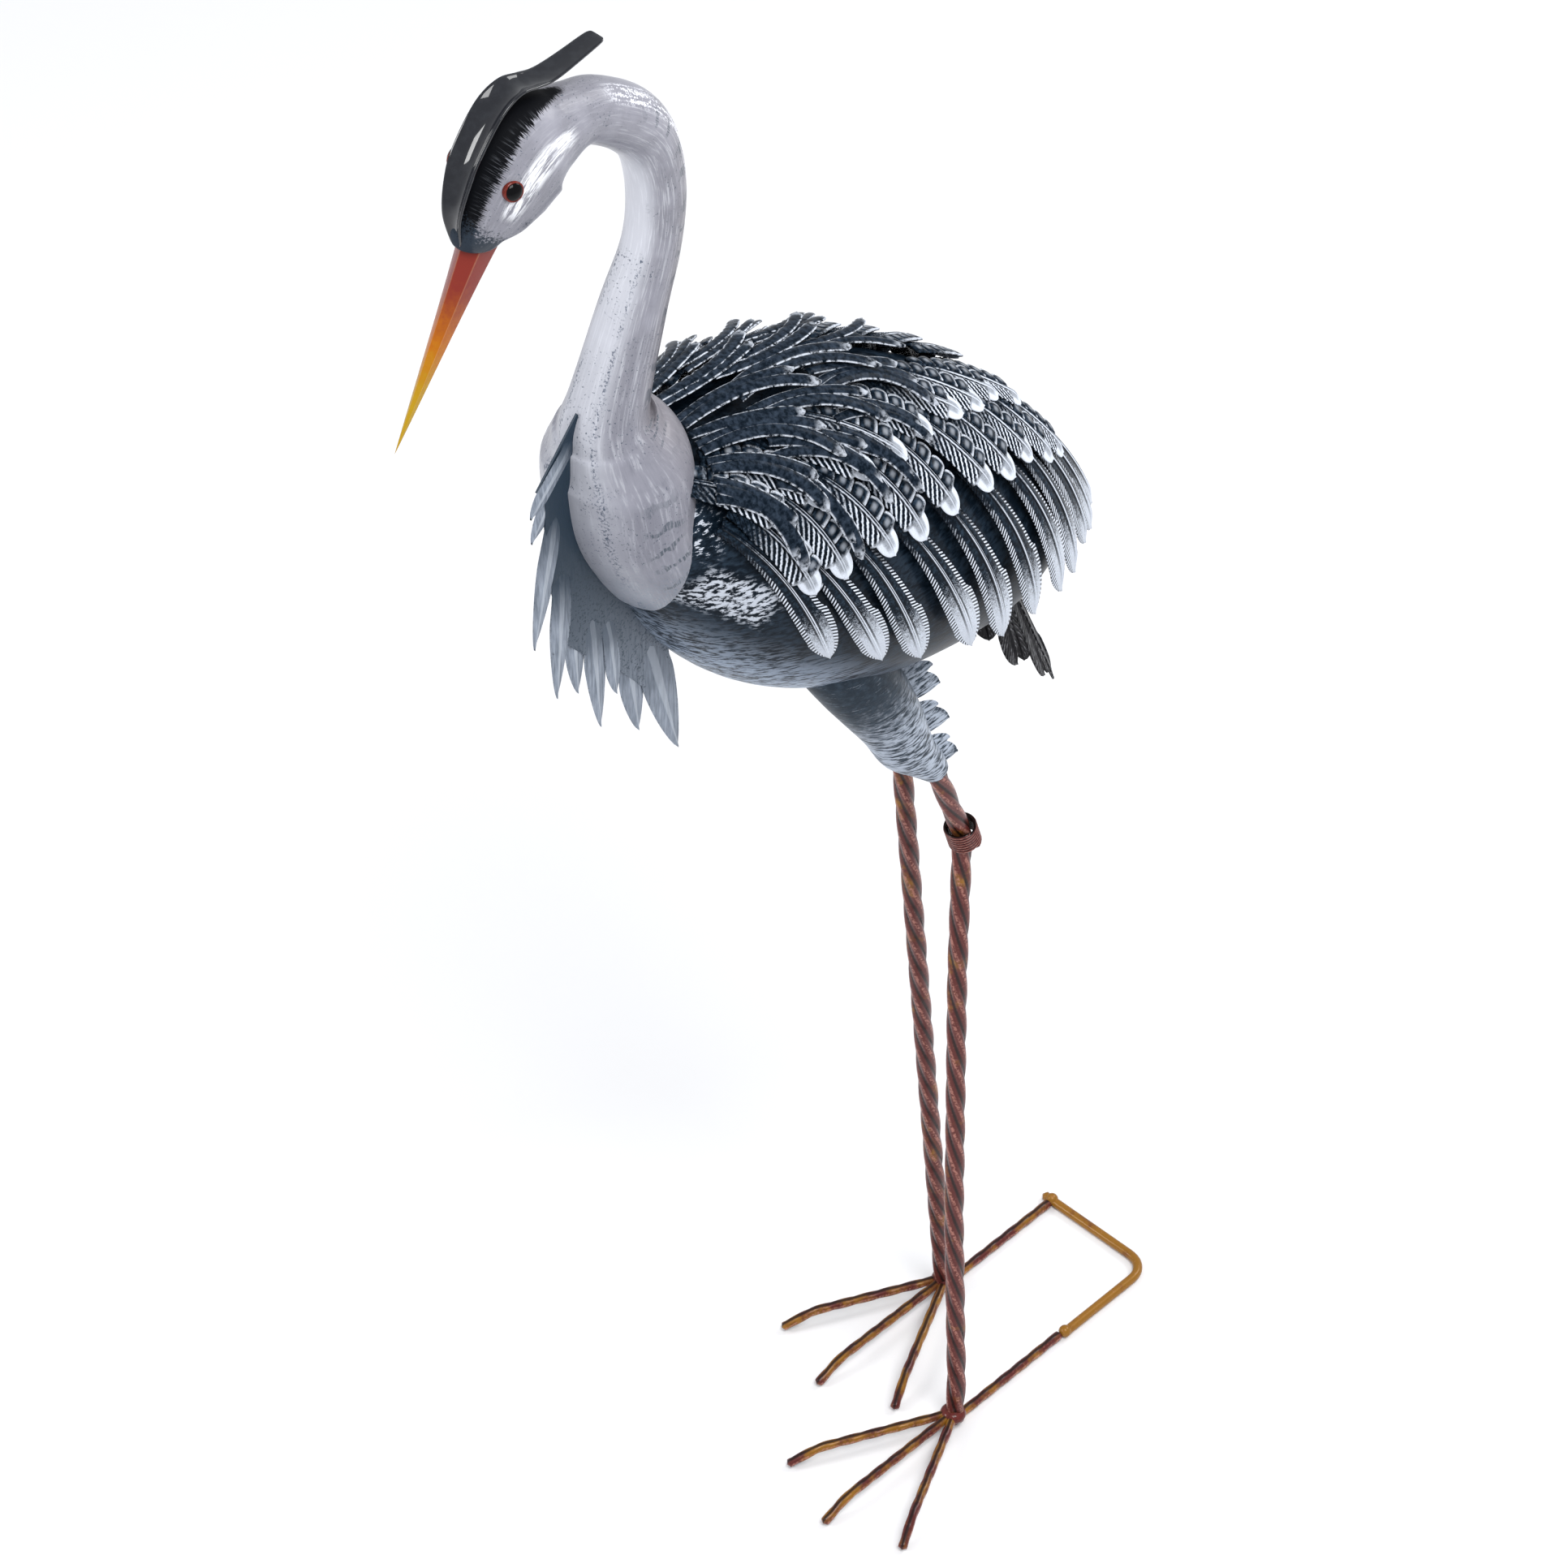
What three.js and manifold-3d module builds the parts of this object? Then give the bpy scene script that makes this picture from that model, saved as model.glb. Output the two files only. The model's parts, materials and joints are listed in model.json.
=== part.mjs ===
// Garden statue of a grey heron: sheet steel body, neck and feathers on twisted rod legs with wire feet.
// Millimetres, +Z up. The bird looks along -Y, and +X is its left side.
import * as THREE from "three";
import { mergeVertices } from "three/addons/utils/BufferGeometryUtils.js";
import Module from "manifold-3d";

const wasm = await Module();
wasm.setup();

// Gap between pieces that touch, and the wall of the hollow body and neck.
const GAP = 0.4;
const WALL = 1.6;
// Edges shorter than this are closed up in each finished piece.
const SHORTEST_EDGE = 0.1;

// The body leans 38 degrees: s runs back along it, v rises from it, and both start at its origin.
const BODY_LEAN = THREE.MathUtils.degToRad(38);
const BODY_ORIGIN = new THREE.Vector3(0, -120, 680);
const ALONG = new THREE.Vector3(0, Math.cos(BODY_LEAN), -Math.sin(BODY_LEAN));
const ACROSS = new THREE.Vector3(0, Math.sin(BODY_LEAN), Math.cos(BODY_LEAN));

// Wing cover: the spine's height, the depth of the flank and the half width, each along s.
const SPINE = { height: 95, peak: 74, curve: 0.0016 };
const FLANK = { depth: 80, lost: 44, from: 90, over: 183, power: 2.4 };
const WIDTH = { most: 70, at: 60, front: 0.00098, rear: 0.0012 };
// Towards the neck the cover drops and narrows, and under the plumes the body dips below it.
const NAPE = { from: 10, over: 110, power: 1.5, drop: 11, narrow: 7 };
const SADDLE = { depth: 9, front: -120, rear: 30 };

// Body shell: it lies under the wing cover, has a belly line of its own and rounds off at both ends.
const UNDER_COVER = 4;
const BELLY = { depth: 70, lowest: 45, curve: 0.0026 };
const BODY_FRONT = { end: -132, round: 36 };
const BODY_REAR = { end: 225, round: 60 };
const BODY_RINGS = 11;
const BODY_SIDES = 14;
const NECK_HOLE = { y: -190, z: 786, radius: 13, length: 80 };

// Neck and head in the middle plane, from the lobe on the breast to the beak: y, z, half depth, half width.
const NECK_STATIONS = [
  [-177, 668, 8, 10],
  [-174.6, 688, 20, 26],
  [-185.6, 719, 26, 37],
  [-193.8, 744, 28, 38.5],
  [-195, 770, 30, 35],
  [-199.5, 788, 23.5, 25],
  [-199, 801, 18.3, 17.9],
  [-184, 843, 15, 14.7],
  [-172, 872, 13, 12.8],
  [-168.6, 899, 12.9, 12.9],
  [-173, 926, 13.3, 13.3],
  [-185, 945, 14.4, 14.4],
  [-204, 960, 14.3, 14.3],
  [-216, 964, 14.7, 14.4],
  [-229, 964, 19.2, 16.3],
  [-244.5, 962, 26.8, 20.8],
  [-257, 952, 25.2, 19.7],
  [-264.5, 943.5, 20.8, 17],
  [-269.8, 936, 14.5, 12.4],
  [-271.3, 929, 9.4, 8.3],
];
const NECK_SIDES = 12;

// Beak: six sided, from inside the face to the tip.
const BEAK_BASE = { y: -269, z: 932, depth: 8.7, width: 7.2 };
const BEAK_TIP = { y: -321.4, z: 847 };

// Crest strip from the brow over the crown to its free rear end: y, z, half width.
const CREST_STATIONS = [
  [-282, 934, 2.5],
  [-283.5, 950.5, 5],
  [-278.5, 967, 7],
  [-272, 978.5, 7.5],
  [-260.5, 991.3, 7.5],
  [-250, 996, 7],
  [-240, 994.3, 6.5],
  [-231, 993.4, 6],
  [-217, 995, 5.3],
  [-203, 997, 4.5],
  [-199.7, 997, 3],
];
const CREST_THICKNESS = 1.2;

// Eye: a flat ring round a domed bead, set in the side of the head.
const EYE = { x: 17.6, y: -265.5, z: 962, ring: 4.6, bead: 3.4 };
const EYE_FACING = new THREE.Vector3(0.94, -0.22, 0.26);

// Breast plume: a flat comb in the middle plane. Each tooth has its tip and the notch behind it: y, z.
const COMB_THICKNESS = 1.6;
const COMB_TOP = [
  [-218, 806],
  [-243, 777],
];
const COMB_TEETH = [
  { tip: [-247.8, 766.5], notch: [-238, 771] },
  { tip: [-246.5, 751], notch: [-238.6, 755] },
  { tip: [-247.7, 691], notch: [-236, 716] },
  { tip: [-235.7, 655], notch: [-227.9, 680] },
  { tip: [-221.8, 648], notch: [-217.4, 667] },
  { tip: [-209.2, 620], notch: [-205.6, 658] },
  { tip: [-199.6, 634], notch: [-196.4, 644] },
  { tip: [-185.2, 601.4], notch: [-181, 623] },
  { tip: [-161.4, 575.3], notch: [-165, 628] },
];
const COMB_BACK = [
  [-167, 645],
  [-190, 700],
  [-205, 780],
];

// Feather rows. Stations are s and the angle phi up the flank in degrees; run is a feather's length along s.
const FEATHER_THICKNESS = 1.4;
const BAND_WIDTH = 6;
const WING_ROWS = [
  {
    name: "wing_flight_feathers",
    count: 11,
    run: 95,
    width: [8.5, 11],
    sweep: 0.45,
    rise: [-2.1, 6],
    tip: (u) => [22 + 290 * u - 63 * u ** 3.5, -35 + 101 * u ** 1.5],
  },
  {
    name: "wing_lower_coverts",
    count: 10,
    run: 45,
    width: [15, 16],
    sweep: 0.6,
    rise: [0, 6],
    tip: (u) => [-25 + 200 * u ** 1.2, -13 + 72 * u ** 0.85],
  },
  {
    name: "wing_upper_coverts",
    count: 9,
    run: 45,
    width: [15, 16],
    sweep: 0.6,
    rise: [0, 6],
    tip: (u) => [-53 + 185 * u ** 1.1, 11 + 62 * u ** 0.75],
  },
];
const PLUME_ROWS = [
  { name: "back_plumes_front", count: 9, s: -88, phi: [20, 79], rise: [4, 10.2] },
  { name: "back_plumes_middle", count: 6, s: -60, phi: [50, 80], rise: [4.6, 10] },
  { name: "back_plumes_rear", count: 6, s: -20, phi: [60, 80], rise: [4, 8.5] },
];
const PLUME = { run: 47, width: [5.5, 5.5], sweep: 0.55 };
// A feather along its length, before the tip: place, share of the full width, share of the thickness.
const FEATHER_PROFILE = [
  [0, 0.35, 0.4],
  [0.5, 1, 1],
  [0.86, 0.75, 1],
];
const PLUME_PROFILE = [
  [0, 0.6, 0.4],
  [0.8, 1, 1],
];

// Tail: a half fan of feathers under the rear of the body.
const TAIL_FAN = [-66, -44, -22, 0, 22, 44, 66];
const TAIL_WIDTH = 17;
const TAIL_BAND_AT = 0.3;

// Left thigh from its lower end up into the body: x, y, z, half depth, half width.
const THIGH_STATIONS = [
  [24, -13.5, 474, 6.5, 6.5],
  [24.3, -21, 488, 11.5, 9],
  [25, -32, 510, 20, 13],
  [26, -43, 535, 23, 16],
  [27, -56, 560, 26, 18],
  [28, -70, 585, 28, 19],
];
const THIGH_SIDES = 12;
// Tips of the ragged edge at the back of the thigh: y, z.
const THIGH_TEETH = [
  [-26.4, 561],
  [-19.5, 548],
  [-14, 533],
  [-15, 520],
  [-7, 506],
  [-6.4, 493],
  [-0.5, 480],
];
const TOOTH_DEPTH = 6;
const TEETH_THICKNESS = 1.6;
// The right thigh stands this much further back and up, since that leg is a step behind.
const RIGHT_THIGH_SHIFT = new THREE.Vector3(0, 8, 13);

// Twisted square bar of the legs.
const BAR = { ridge: 5.1, groove: 4.5, pitch: 97, stepsPerTurn: 6 };
const ANKLE_BEAD = { radius: 7, from: 4, to: 12 };
const LEFT_LEG = [
  [34, 1, 0],
  [33.3, 2.9, 31],
  [30.3, 0.9, 155],
  [26.3, 3, 324],
  [24, 6.5, 419],
  [24, -13.1, 472.6],
];
const RIGHT_LEG = [
  [-34, 66, 0],
  [-23.8, 13.5, 440],
  [-24, -5.1, 485.6],
];

// Coil of wire round each knee, turned half as far as the leg bends there.
const COIL = { outer: 8.3, inner: 7, wire: 3.9, turns: 4, sides: 8, lean: 0.17 };

// Toes of plain rod. Three spread forward, held up until near their ends, and one lies back on the ground.
const ROD_RADIUS = 2.55;
const ROD_SIDES = 8;
const TOE_START = 8.2;
const TOE_HEIGHT = { ankle: 8, end: 9, droop: 18 };
// Front toes: the angle round the ankle where each starts, the angle of its tip, and its reach.
const FRONT_TOES = { inner: [-47, -26.5, 92], middle: [0, 0, 98], outer: [47, 26.5, 92] };
const REAR_TOE = 81;
const ANKLES = { left: [34, 0], right: [-34, 66] };

// Brace rod on the ground, from the left rear toe round behind the right one.
const BRACE = { x: 35, start: 82.2, back: 151.3, corner: 12, end: -41 };
const WELD = { radius: 3.8, height: 3.9 };

const COLOURS = {
  slate: 0x4a5262,
  silver: 0x8f93a3,
  pale: 0xb9bcc0,
  black: 0x17181b,
  orange: 0xd8732a,
  bronze: 0x5d5246,
  copper: 0x8a5238,
  ochre: 0xa9783d,
};

const radians = THREE.MathUtils.degToRad;
const point = (x, y, z) => new THREE.Vector3(x, y, z);
const X_AXIS = point(1, 0, 0);
const Z_AXIS = point(0, 0, 1);

function middleOf(points) {
  const sum = points.reduce((total, p) => total.add(p), point(0, 0, 0));
  return sum.divideScalar(points.length);
}

// A closed skin over rings of equal count, with a fan over each end to its middle or to a given apex.
function loft(rings, startApex = middleOf(rings[0]), endApex = middleOf(rings.at(-1))) {
  const count = rings[0].length;
  const vertices = [...rings.flat(), startApex, endApex];
  const start = vertices.length - 2;
  const end = vertices.length - 1;
  const last = (rings.length - 1) * count;
  const faces = [];
  for (let i = 0; i < count; i++) {
    const next = (i + 1) % count;
    for (let ring = 0; ring < last; ring += count) {
      faces.push(ring + i, ring + next, ring + count + next);
      faces.push(ring + i, ring + count + next, ring + count + i);
    }
    faces.push(start, next, i);
    faces.push(end, last + i, last + next);
  }
  const geometry = new THREE.BufferGeometry().setFromPoints(vertices);
  geometry.setIndex(faces);
  return geometry;
}

// A closed geometry as a solid for joining and cutting, turned to face out.
// Vertices closer than the weld merge.
function solidOf(geometry, weld = 1e-4) {
  const bare = geometry.clone();
  bare.deleteAttribute("normal");
  bare.deleteAttribute("uv");
  const merged = mergeVertices(bare, weld);
  const make = (triVerts) =>
    new wasm.Manifold(
      new wasm.Mesh({ numProp: 3, vertProperties: merged.attributes.position.array, triVerts }),
    );
  const faces = new Uint32Array(merged.index.array);
  const made = make(faces);
  return made.volume() < 0 ? make(faces.reverse()) : made;
}

const joined = (solids) => solids.reduce((whole, one) => whole.add(one));

function geometryOf(solid) {
  const mesh = solid.getMesh();
  const geometry = new THREE.BufferGeometry();
  geometry.setAttribute("position", new THREE.BufferAttribute(mesh.vertProperties, 3));
  geometry.setIndex(new THREE.BufferAttribute(mesh.triVerts, 1));
  return geometry;
}

function piece(name, solid, colour, roughness = 0.45) {
  const material = new THREE.MeshStandardMaterial({ color: colour, roughness, metalness: 0.6 });
  const welded = solidOf(geometryOf(solid), SHORTEST_EDGE);
  const mesh = new THREE.Mesh(geometryOf(welded), material);
  mesh.name = name;
  return mesh;
}

// Rings of a section carried along a path. A section point is its offset along the reference and across it.
function sweepRings(path, reference, sectionAt) {
  return path.map((centre, i) => {
    const ahead = path[Math.min(i + 1, path.length - 1)];
    const behind = path[Math.max(i - 1, 0)];
    const tangent = ahead.clone().sub(behind).normalize();
    const first = reference.clone().addScaledVector(tangent, -reference.dot(tangent)).normalize();
    const second = tangent.clone().cross(first);
    const place = ([a, b]) => centre.clone().addScaledVector(first, a).addScaledVector(second, b);
    return sectionAt(i).map(place);
  });
}

function ellipse(a, b, sides, turn = 0) {
  return Array.from({ length: sides }, (_, i) => {
    const angle = turn + (2 * Math.PI * i) / sides;
    return [a * Math.cos(angle), b * Math.sin(angle)];
  });
}

// A flat strip with a ridge along the top.
const ridged = (half, thick) => [
  [half, (-FEATHER_THICKNESS / 2) * thick],
  [0, (FEATHER_THICKNESS / 2) * thick],
  [-half, (-FEATHER_THICKNESS / 2) * thick],
];

const rectangle = (a, b) => [
  [a, b],
  [-a, b],
  [-a, -b],
  [a, -b],
];

// A flat plate in the plane x = middle, cut to an outline of y and z.
function plate(outline, thickness, middle) {
  const shape = new THREE.Shape(outline.map(([y, z]) => new THREE.Vector2(y, z)));
  const geometry = new THREE.ExtrudeGeometry(shape, { depth: thickness, bevelEnabled: false });
  geometry.translate(0, 0, middle - thickness / 2);
  const upright = new THREE.Matrix4().makeBasis(point(0, 1, 0), Z_AXIS, X_AXIS);
  return solidOf(geometry.applyMatrix4(upright));
}

const napeAt = (s) => (Math.max(NAPE.from - s, 0) / NAPE.over) ** NAPE.power;

const spineAt = (s) => SPINE.height - SPINE.curve * (s - SPINE.peak) ** 2 - NAPE.drop * napeAt(s);

function halfWidthAt(s) {
  const curve = s < WIDTH.at ? WIDTH.front : WIDTH.rear;
  return WIDTH.most - curve * (s - WIDTH.at) ** 2 - NAPE.narrow * napeAt(s);
}

function flankDepthAt(s) {
  const lost = FLANK.lost * (Math.max(FLANK.from - s, 0) / FLANK.over) ** FLANK.power;
  return FLANK.depth - lost - 0.8 * NAPE.drop * napeAt(s);
}

function saddleAt(s) {
  const share = (s - SADDLE.front) / (SADDLE.rear - SADDLE.front);
  return share > 0 && share < 1 ? SADDLE.depth * Math.sin(Math.PI * share) ** 2 : 0;
}

// A place in the body's frame: out to the side, back along it and up from it.
function bodyPoint(out, s, v) {
  return point(out, 0, 0).add(BODY_ORIGIN).addScaledVector(ALONG, s).addScaledVector(ACROSS, v);
}

// A place on the wing cover, risen by some millimetres.
function coverPoint(s, phi, rise) {
  const depth = flankDepthAt(s);
  const up = spineAt(s) - depth + (depth + rise) * Math.sin(radians(phi));
  const out = (halfWidthAt(s) + rise) * Math.cos(radians(phi));
  return bodyPoint(out, s, up);
}

// How far the body has closed in at s, from 1 in the middle to 0 at either end.
function closing(s) {
  const front = Math.max(BODY_FRONT.end + BODY_FRONT.round - s, 0) / BODY_FRONT.round;
  const rear = Math.max(s - BODY_REAR.end + BODY_REAR.round, 0) / BODY_REAR.round;
  return Math.sqrt(Math.max(1 - front ** 2 - rear ** 2, 0));
}

function bodyRing(s, grown) {
  const upper = spineAt(s) - UNDER_COVER - saddleAt(s);
  const lower = -BELLY.depth + BELLY.curve * (s - BELLY.lowest) ** 2;
  const semi = (Math.max(upper - lower, 0) / 2) * closing(s) + grown;
  const side = (halfWidthAt(s) - UNDER_COVER) * closing(s) + grown;
  const middle = (upper + lower) / 2;
  return ellipse(side, semi, BODY_SIDES).map(([out, up]) => bodyPoint(out, s, middle + up));
}

function bodyRings(grown) {
  const rings = [];
  for (let i = 0; i < BODY_RINGS; i++) {
    const share = (1 - Math.cos((Math.PI * (i + 0.5)) / BODY_RINGS)) / 2;
    rings.push(bodyRing(BODY_FRONT.end + (BODY_REAR.end - BODY_FRONT.end) * share, grown));
  }
  return rings;
}

function bodyOutline(grown) {
  const rings = bodyRings(grown);
  const front = middleOf(rings[0]).addScaledVector(ALONG, -1 - grown);
  const rear = middleOf(rings.at(-1)).addScaledVector(ALONG, 1 + grown);
  return solidOf(loft(rings, front, rear));
}

function bodyShell() {
  const hole = new THREE.CylinderGeometry(NECK_HOLE.radius, NECK_HOLE.radius, NECK_HOLE.length, 12);
  hole.rotateX(Math.PI / 2).translate(0, NECK_HOLE.y, NECK_HOLE.z);
  const cavity = solidOf(loft(bodyRings(-WALL).slice(1, -1)));
  return bodyOutline(0).subtract(cavity).subtract(solidOf(hole));
}

function neckSolid(grown, stations) {
  const path = stations.map(([y, z]) => point(0, y, z));
  const sectionAt = (i) => ellipse(stations[i][3] + grown, stations[i][2] + grown, NECK_SIDES);
  return solidOf(loft(sweepRings(path, X_AXIS, sectionAt)));
}

const neckOutline = (grown) => neckSolid(grown, NECK_STATIONS);

function neckAndHead() {
  const bore = neckSolid(-WALL, NECK_STATIONS.slice(1, -1));
  return neckOutline(0).subtract(bore).subtract(bodyOutline(GAP));
}

function beak() {
  const base = point(0, BEAK_BASE.y, BEAK_BASE.z);
  const tip = point(0, BEAK_TIP.y, BEAK_TIP.z);
  const middle = base.clone().lerp(tip, 0.5);
  const path = [base, middle];
  const sectionAt = (i) => {
    const share = 1 - 0.42 * i;
    return ellipse(BEAK_BASE.width * share, BEAK_BASE.depth * share, 6, Math.PI / 2);
  };
  return solidOf(loft(sweepRings(path, X_AXIS, sectionAt), base, tip)).subtract(neckOutline(GAP));
}

function crest() {
  const path = CREST_STATIONS.map(([y, z]) => point(0, y, z));
  const sectionAt = (i) => rectangle(CREST_STATIONS[i][2], CREST_THICKNESS / 2);
  return solidOf(loft(sweepRings(path, X_AXIS, sectionAt))).subtract(neckOutline(GAP));
}

function eye() {
  const profile = [
    [0, -4],
    [EYE.ring, -4],
    [EYE.ring, 0.6],
    [EYE.bead, 0.6],
    [EYE.bead * 0.75, 1.6],
    [0, 2.2],
  ];
  const outline = profile.map(([x, y]) => new THREE.Vector2(x, y));
  const geometry = new THREE.LatheGeometry(outline, 8);
  const facing = new THREE.Quaternion().setFromUnitVectors(point(0, 1, 0), EYE_FACING.clone().normalize());
  geometry.applyQuaternion(facing).translate(EYE.x, EYE.y, EYE.z);
  return solidOf(geometry).subtract(neckOutline(GAP));
}

function breastPlume() {
  const teeth = COMB_TEETH.flatMap(({ tip, notch }) => [tip, notch]);
  const comb = plate([...COMB_TOP, ...teeth, ...COMB_BACK], COMB_THICKNESS, 0);
  return comb.subtract(neckOutline(GAP)).subtract(bodyOutline(GAP));
}

// A feather's line over the wing cover from root to tip, with the frame that its section stands in.
function featherFrame(root, tip, rise, u) {
  const at = (share, turn) => {
    const s = root[0] + (tip[0] - root[0]) * share;
    const phi = root[1] + (tip[1] - root[1]) * share + turn;
    return coverPoint(s, phi, rise[0] + (rise[1] - rise[0]) * share);
  };
  const along = at(u + 0.02, 0).sub(at(u - 0.02, 0)).normalize();
  const up = at(u, 1).sub(at(u, -1));
  const out = along.clone().cross(up).normalize();
  return { centre: at(u, 0), along, out, side: out.clone().cross(along) };
}

// One feather: flat below, with a low ridge along the top.
function feather(root, tip, rise, width, profile) {
  const rings = profile.map(([u, share, thick]) => {
    const { centre, out, side } = featherFrame(root, tip, rise, u);
    const place = ([a, b]) => centre.clone().addScaledVector(side, a).addScaledVector(out, b);
    return ridged((width / 2) * share, thick).map(place);
  });
  const { centre } = featherFrame(root, tip, rise, 1);
  return solidOf(loft(rings, undefined, centre));
}

// The strip that carries a row of feathers at their roots.
function band(frames, width) {
  const rings = frames.map(({ centre, along, out }) =>
    rectangle(width / 2, FEATHER_THICKNESS / 2).map(([a, b]) =>
      centre.clone().addScaledVector(along, a).addScaledVector(out, b),
    ),
  );
  return solidOf(loft(rings));
}

function featherRow({ count, rise, width, stationsAt, profile }, neck) {
  const feathers = [];
  const frames = [];
  for (let i = 0; i < count; i++) {
    const u = i / (count - 1);
    const [root, tip] = stationsAt(u);
    feathers.push(feather(root, tip, rise, width[0] + (width[1] - width[0]) * u, profile));
    frames.push(featherFrame(root, tip, rise, 0));
  }
  return joined([band(frames, BAND_WIDTH), ...feathers]).subtract(neck);
}

// Wing feathers are set out by their tips, and sweep down towards them.
function wingRow(row, neck) {
  const stationsAt = (u) => {
    const [s, phi] = row.tip(u);
    return [[s - row.run, phi + row.sweep * Math.cos(radians(phi)) * row.run], [s, phi]];
  };
  return featherRow({ ...row, stationsAt, profile: FEATHER_PROFILE }, neck);
}

// Back plumes are set out by their roots, on a line across the back.
function plumeRow(row, neck) {
  const stationsAt = (u) => {
    const phi = row.phi[0] + (row.phi[1] - row.phi[0]) * u;
    const swept = phi - PLUME.sweep * Math.cos(radians(phi)) * PLUME.run;
    return [[row.s, phi], [row.s + PLUME.run, swept]];
  };
  return featherRow({ ...row, width: PLUME.width, stationsAt, profile: PLUME_PROFILE }, neck);
}

// A tail feather's root and tip at an angle round the fan.
function tailLine(degrees) {
  const sin = Math.sin(radians(degrees));
  const cos = Math.cos(radians(degrees));
  return [point(14 * sin, 15 + 30 * cos, 595 - 25 * cos), point(26 * sin, 10 + 82 * cos, 540 - 88 * cos)];
}

function tailFrame(degrees, u) {
  const [root, tip] = tailLine(degrees);
  const along = tip.clone().sub(root).normalize();
  const outward = point(Math.sin(radians(degrees)), Math.cos(radians(degrees)), 0);
  const side = along.clone().cross(outward).normalize();
  return { centre: root.lerp(tip, u), along, side, out: side.clone().cross(along) };
}

function tailFeather(degrees) {
  const rings = FEATHER_PROFILE.map(([u, share, thick]) => {
    const { centre, side, out } = tailFrame(degrees, u);
    const place = ([a, b]) => centre.clone().addScaledVector(side, a).addScaledVector(out, b);
    return ridged((TAIL_WIDTH / 2) * share, thick).map(place);
  });
  return solidOf(loft(rings, undefined, tailFrame(degrees, 1).centre));
}

function tail() {
  const frames = TAIL_FAN.map((degrees) => tailFrame(degrees, TAIL_BAND_AT));
  const feathers = TAIL_FAN.map(tailFeather);
  return joined([band(frames, BAND_WIDTH), ...feathers]).subtract(bodyOutline(GAP));
}

function thigh() {
  const path = THIGH_STATIONS.map(([x, y, z]) => point(x, y, z));
  const sectionAt = (i) => ellipse(THIGH_STATIONS[i][4], THIGH_STATIONS[i][3], THIGH_SIDES);
  const limb = solidOf(loft(sweepRings(path, X_AXIS, sectionAt)));
  const edge = THIGH_TEETH.flatMap(([y, z]) => [
    [y, z],
    [y - TOOTH_DEPTH, z - 2],
  ]);
  const teeth = plate([...edge, [-20, 492], [-50, 560]], TEETH_THICKNESS, 25.5);
  return limb.add(teeth);
}

// A leg's path in even steps up the bar, so that the twist advances evenly.
function legPath(corners) {
  const step = BAR.pitch / BAR.stepsPerTurn;
  const path = [];
  corners.slice(1).forEach((corner, i) => {
    const from = point(...corners[i]);
    const to = point(...corner);
    const steps = Math.ceil(from.distanceTo(to) / step);
    for (let k = 0; k < steps; k++) path.push(from.clone().lerp(to, k / steps));
  });
  path.push(point(...corners.at(-1)));
  return path;
}

function leg(corners) {
  const path = legPath(corners);
  const sectionAt = (i) => {
    const twist = (-2 * Math.PI * path[i].z) / BAR.pitch;
    return Array.from({ length: 8 }, (_, k) => {
      const radius = k % 2 ? BAR.groove : BAR.ridge;
      const angle = twist + (Math.PI * k) / 4;
      return [radius * Math.cos(angle), radius * Math.sin(angle)];
    });
  };
  const bar = sweepRings(path, X_AXIS, sectionAt);
  bar[0].forEach((p) => p.setZ(0));
  const bead = new THREE.LatheGeometry(
    [
      [0, ANKLE_BEAD.from],
      [ANKLE_BEAD.radius - 1.5, ANKLE_BEAD.from],
      [ANKLE_BEAD.radius, (ANKLE_BEAD.from + ANKLE_BEAD.to) / 2],
      [ANKLE_BEAD.radius - 1.5, ANKLE_BEAD.to],
      [0, ANKLE_BEAD.to],
    ].map(([x, y]) => new THREE.Vector2(x, y)),
    8,
  );
  bead.rotateX(Math.PI / 2).translate(corners[0][0], corners[0][1], 0);
  return solidOf(loft(bar)).add(solidOf(bead));
}

// The coil as a short ribbed sleeve.
function coil() {
  const profile = [new THREE.Vector2(COIL.inner, 0)];
  for (let i = 0; i < COIL.turns; i++) {
    profile.push(new THREE.Vector2(COIL.outer - 0.8, i * COIL.wire));
    profile.push(new THREE.Vector2(COIL.outer, (i + 0.5) * COIL.wire));
  }
  const top = COIL.turns * COIL.wire;
  profile.push(new THREE.Vector2(COIL.outer - 0.8, top));
  profile.push(new THREE.Vector2(COIL.inner, top));
  profile.push(new THREE.Vector2(COIL.inner, 0));
  const geometry = new THREE.LatheGeometry(profile, COIL.sides);
  return solidOf(geometry.translate(0, -top / 2, 0).rotateX(Math.PI / 2));
}

function rod(path) {
  const radius = ROD_RADIUS / Math.cos(Math.PI / ROD_SIDES);
  const sectionAt = () => ellipse(radius, radius, ROD_SIDES, Math.PI / ROD_SIDES);
  return solidOf(loft(sweepRings(path, Z_AXIS, sectionAt)));
}

function frontToe([ankleX, ankleY], rootAngle, tipAngle, reach) {
  const at = (degrees, distance) =>
    point(ankleX + distance * Math.sin(radians(degrees)), ankleY - distance * Math.cos(radians(degrees)), 0);
  const start = at(rootAngle, TOE_START);
  const tip = at(tipAngle, reach);
  const bend = 1 - TOE_HEIGHT.droop / reach;
  return rod([
    start.clone().setZ(TOE_HEIGHT.ankle),
    start.clone().lerp(tip, bend - 0.03).setZ(TOE_HEIGHT.end),
    start.clone().lerp(tip, bend + 0.03).setZ(TOE_HEIGHT.end - 1),
    tip.setZ(ROD_RADIUS),
  ]);
}

function rearToe([ankleX, ankleY]) {
  return rod([point(ankleX, ankleY + TOE_START, ROD_RADIUS), point(ankleX, ankleY + REAR_TOE, ROD_RADIUS)]);
}

function weld(x, y) {
  const geometry = new THREE.SphereGeometry(WELD.radius, 6, 4);
  return solidOf(geometry.translate(x, y, WELD.height));
}

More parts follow.
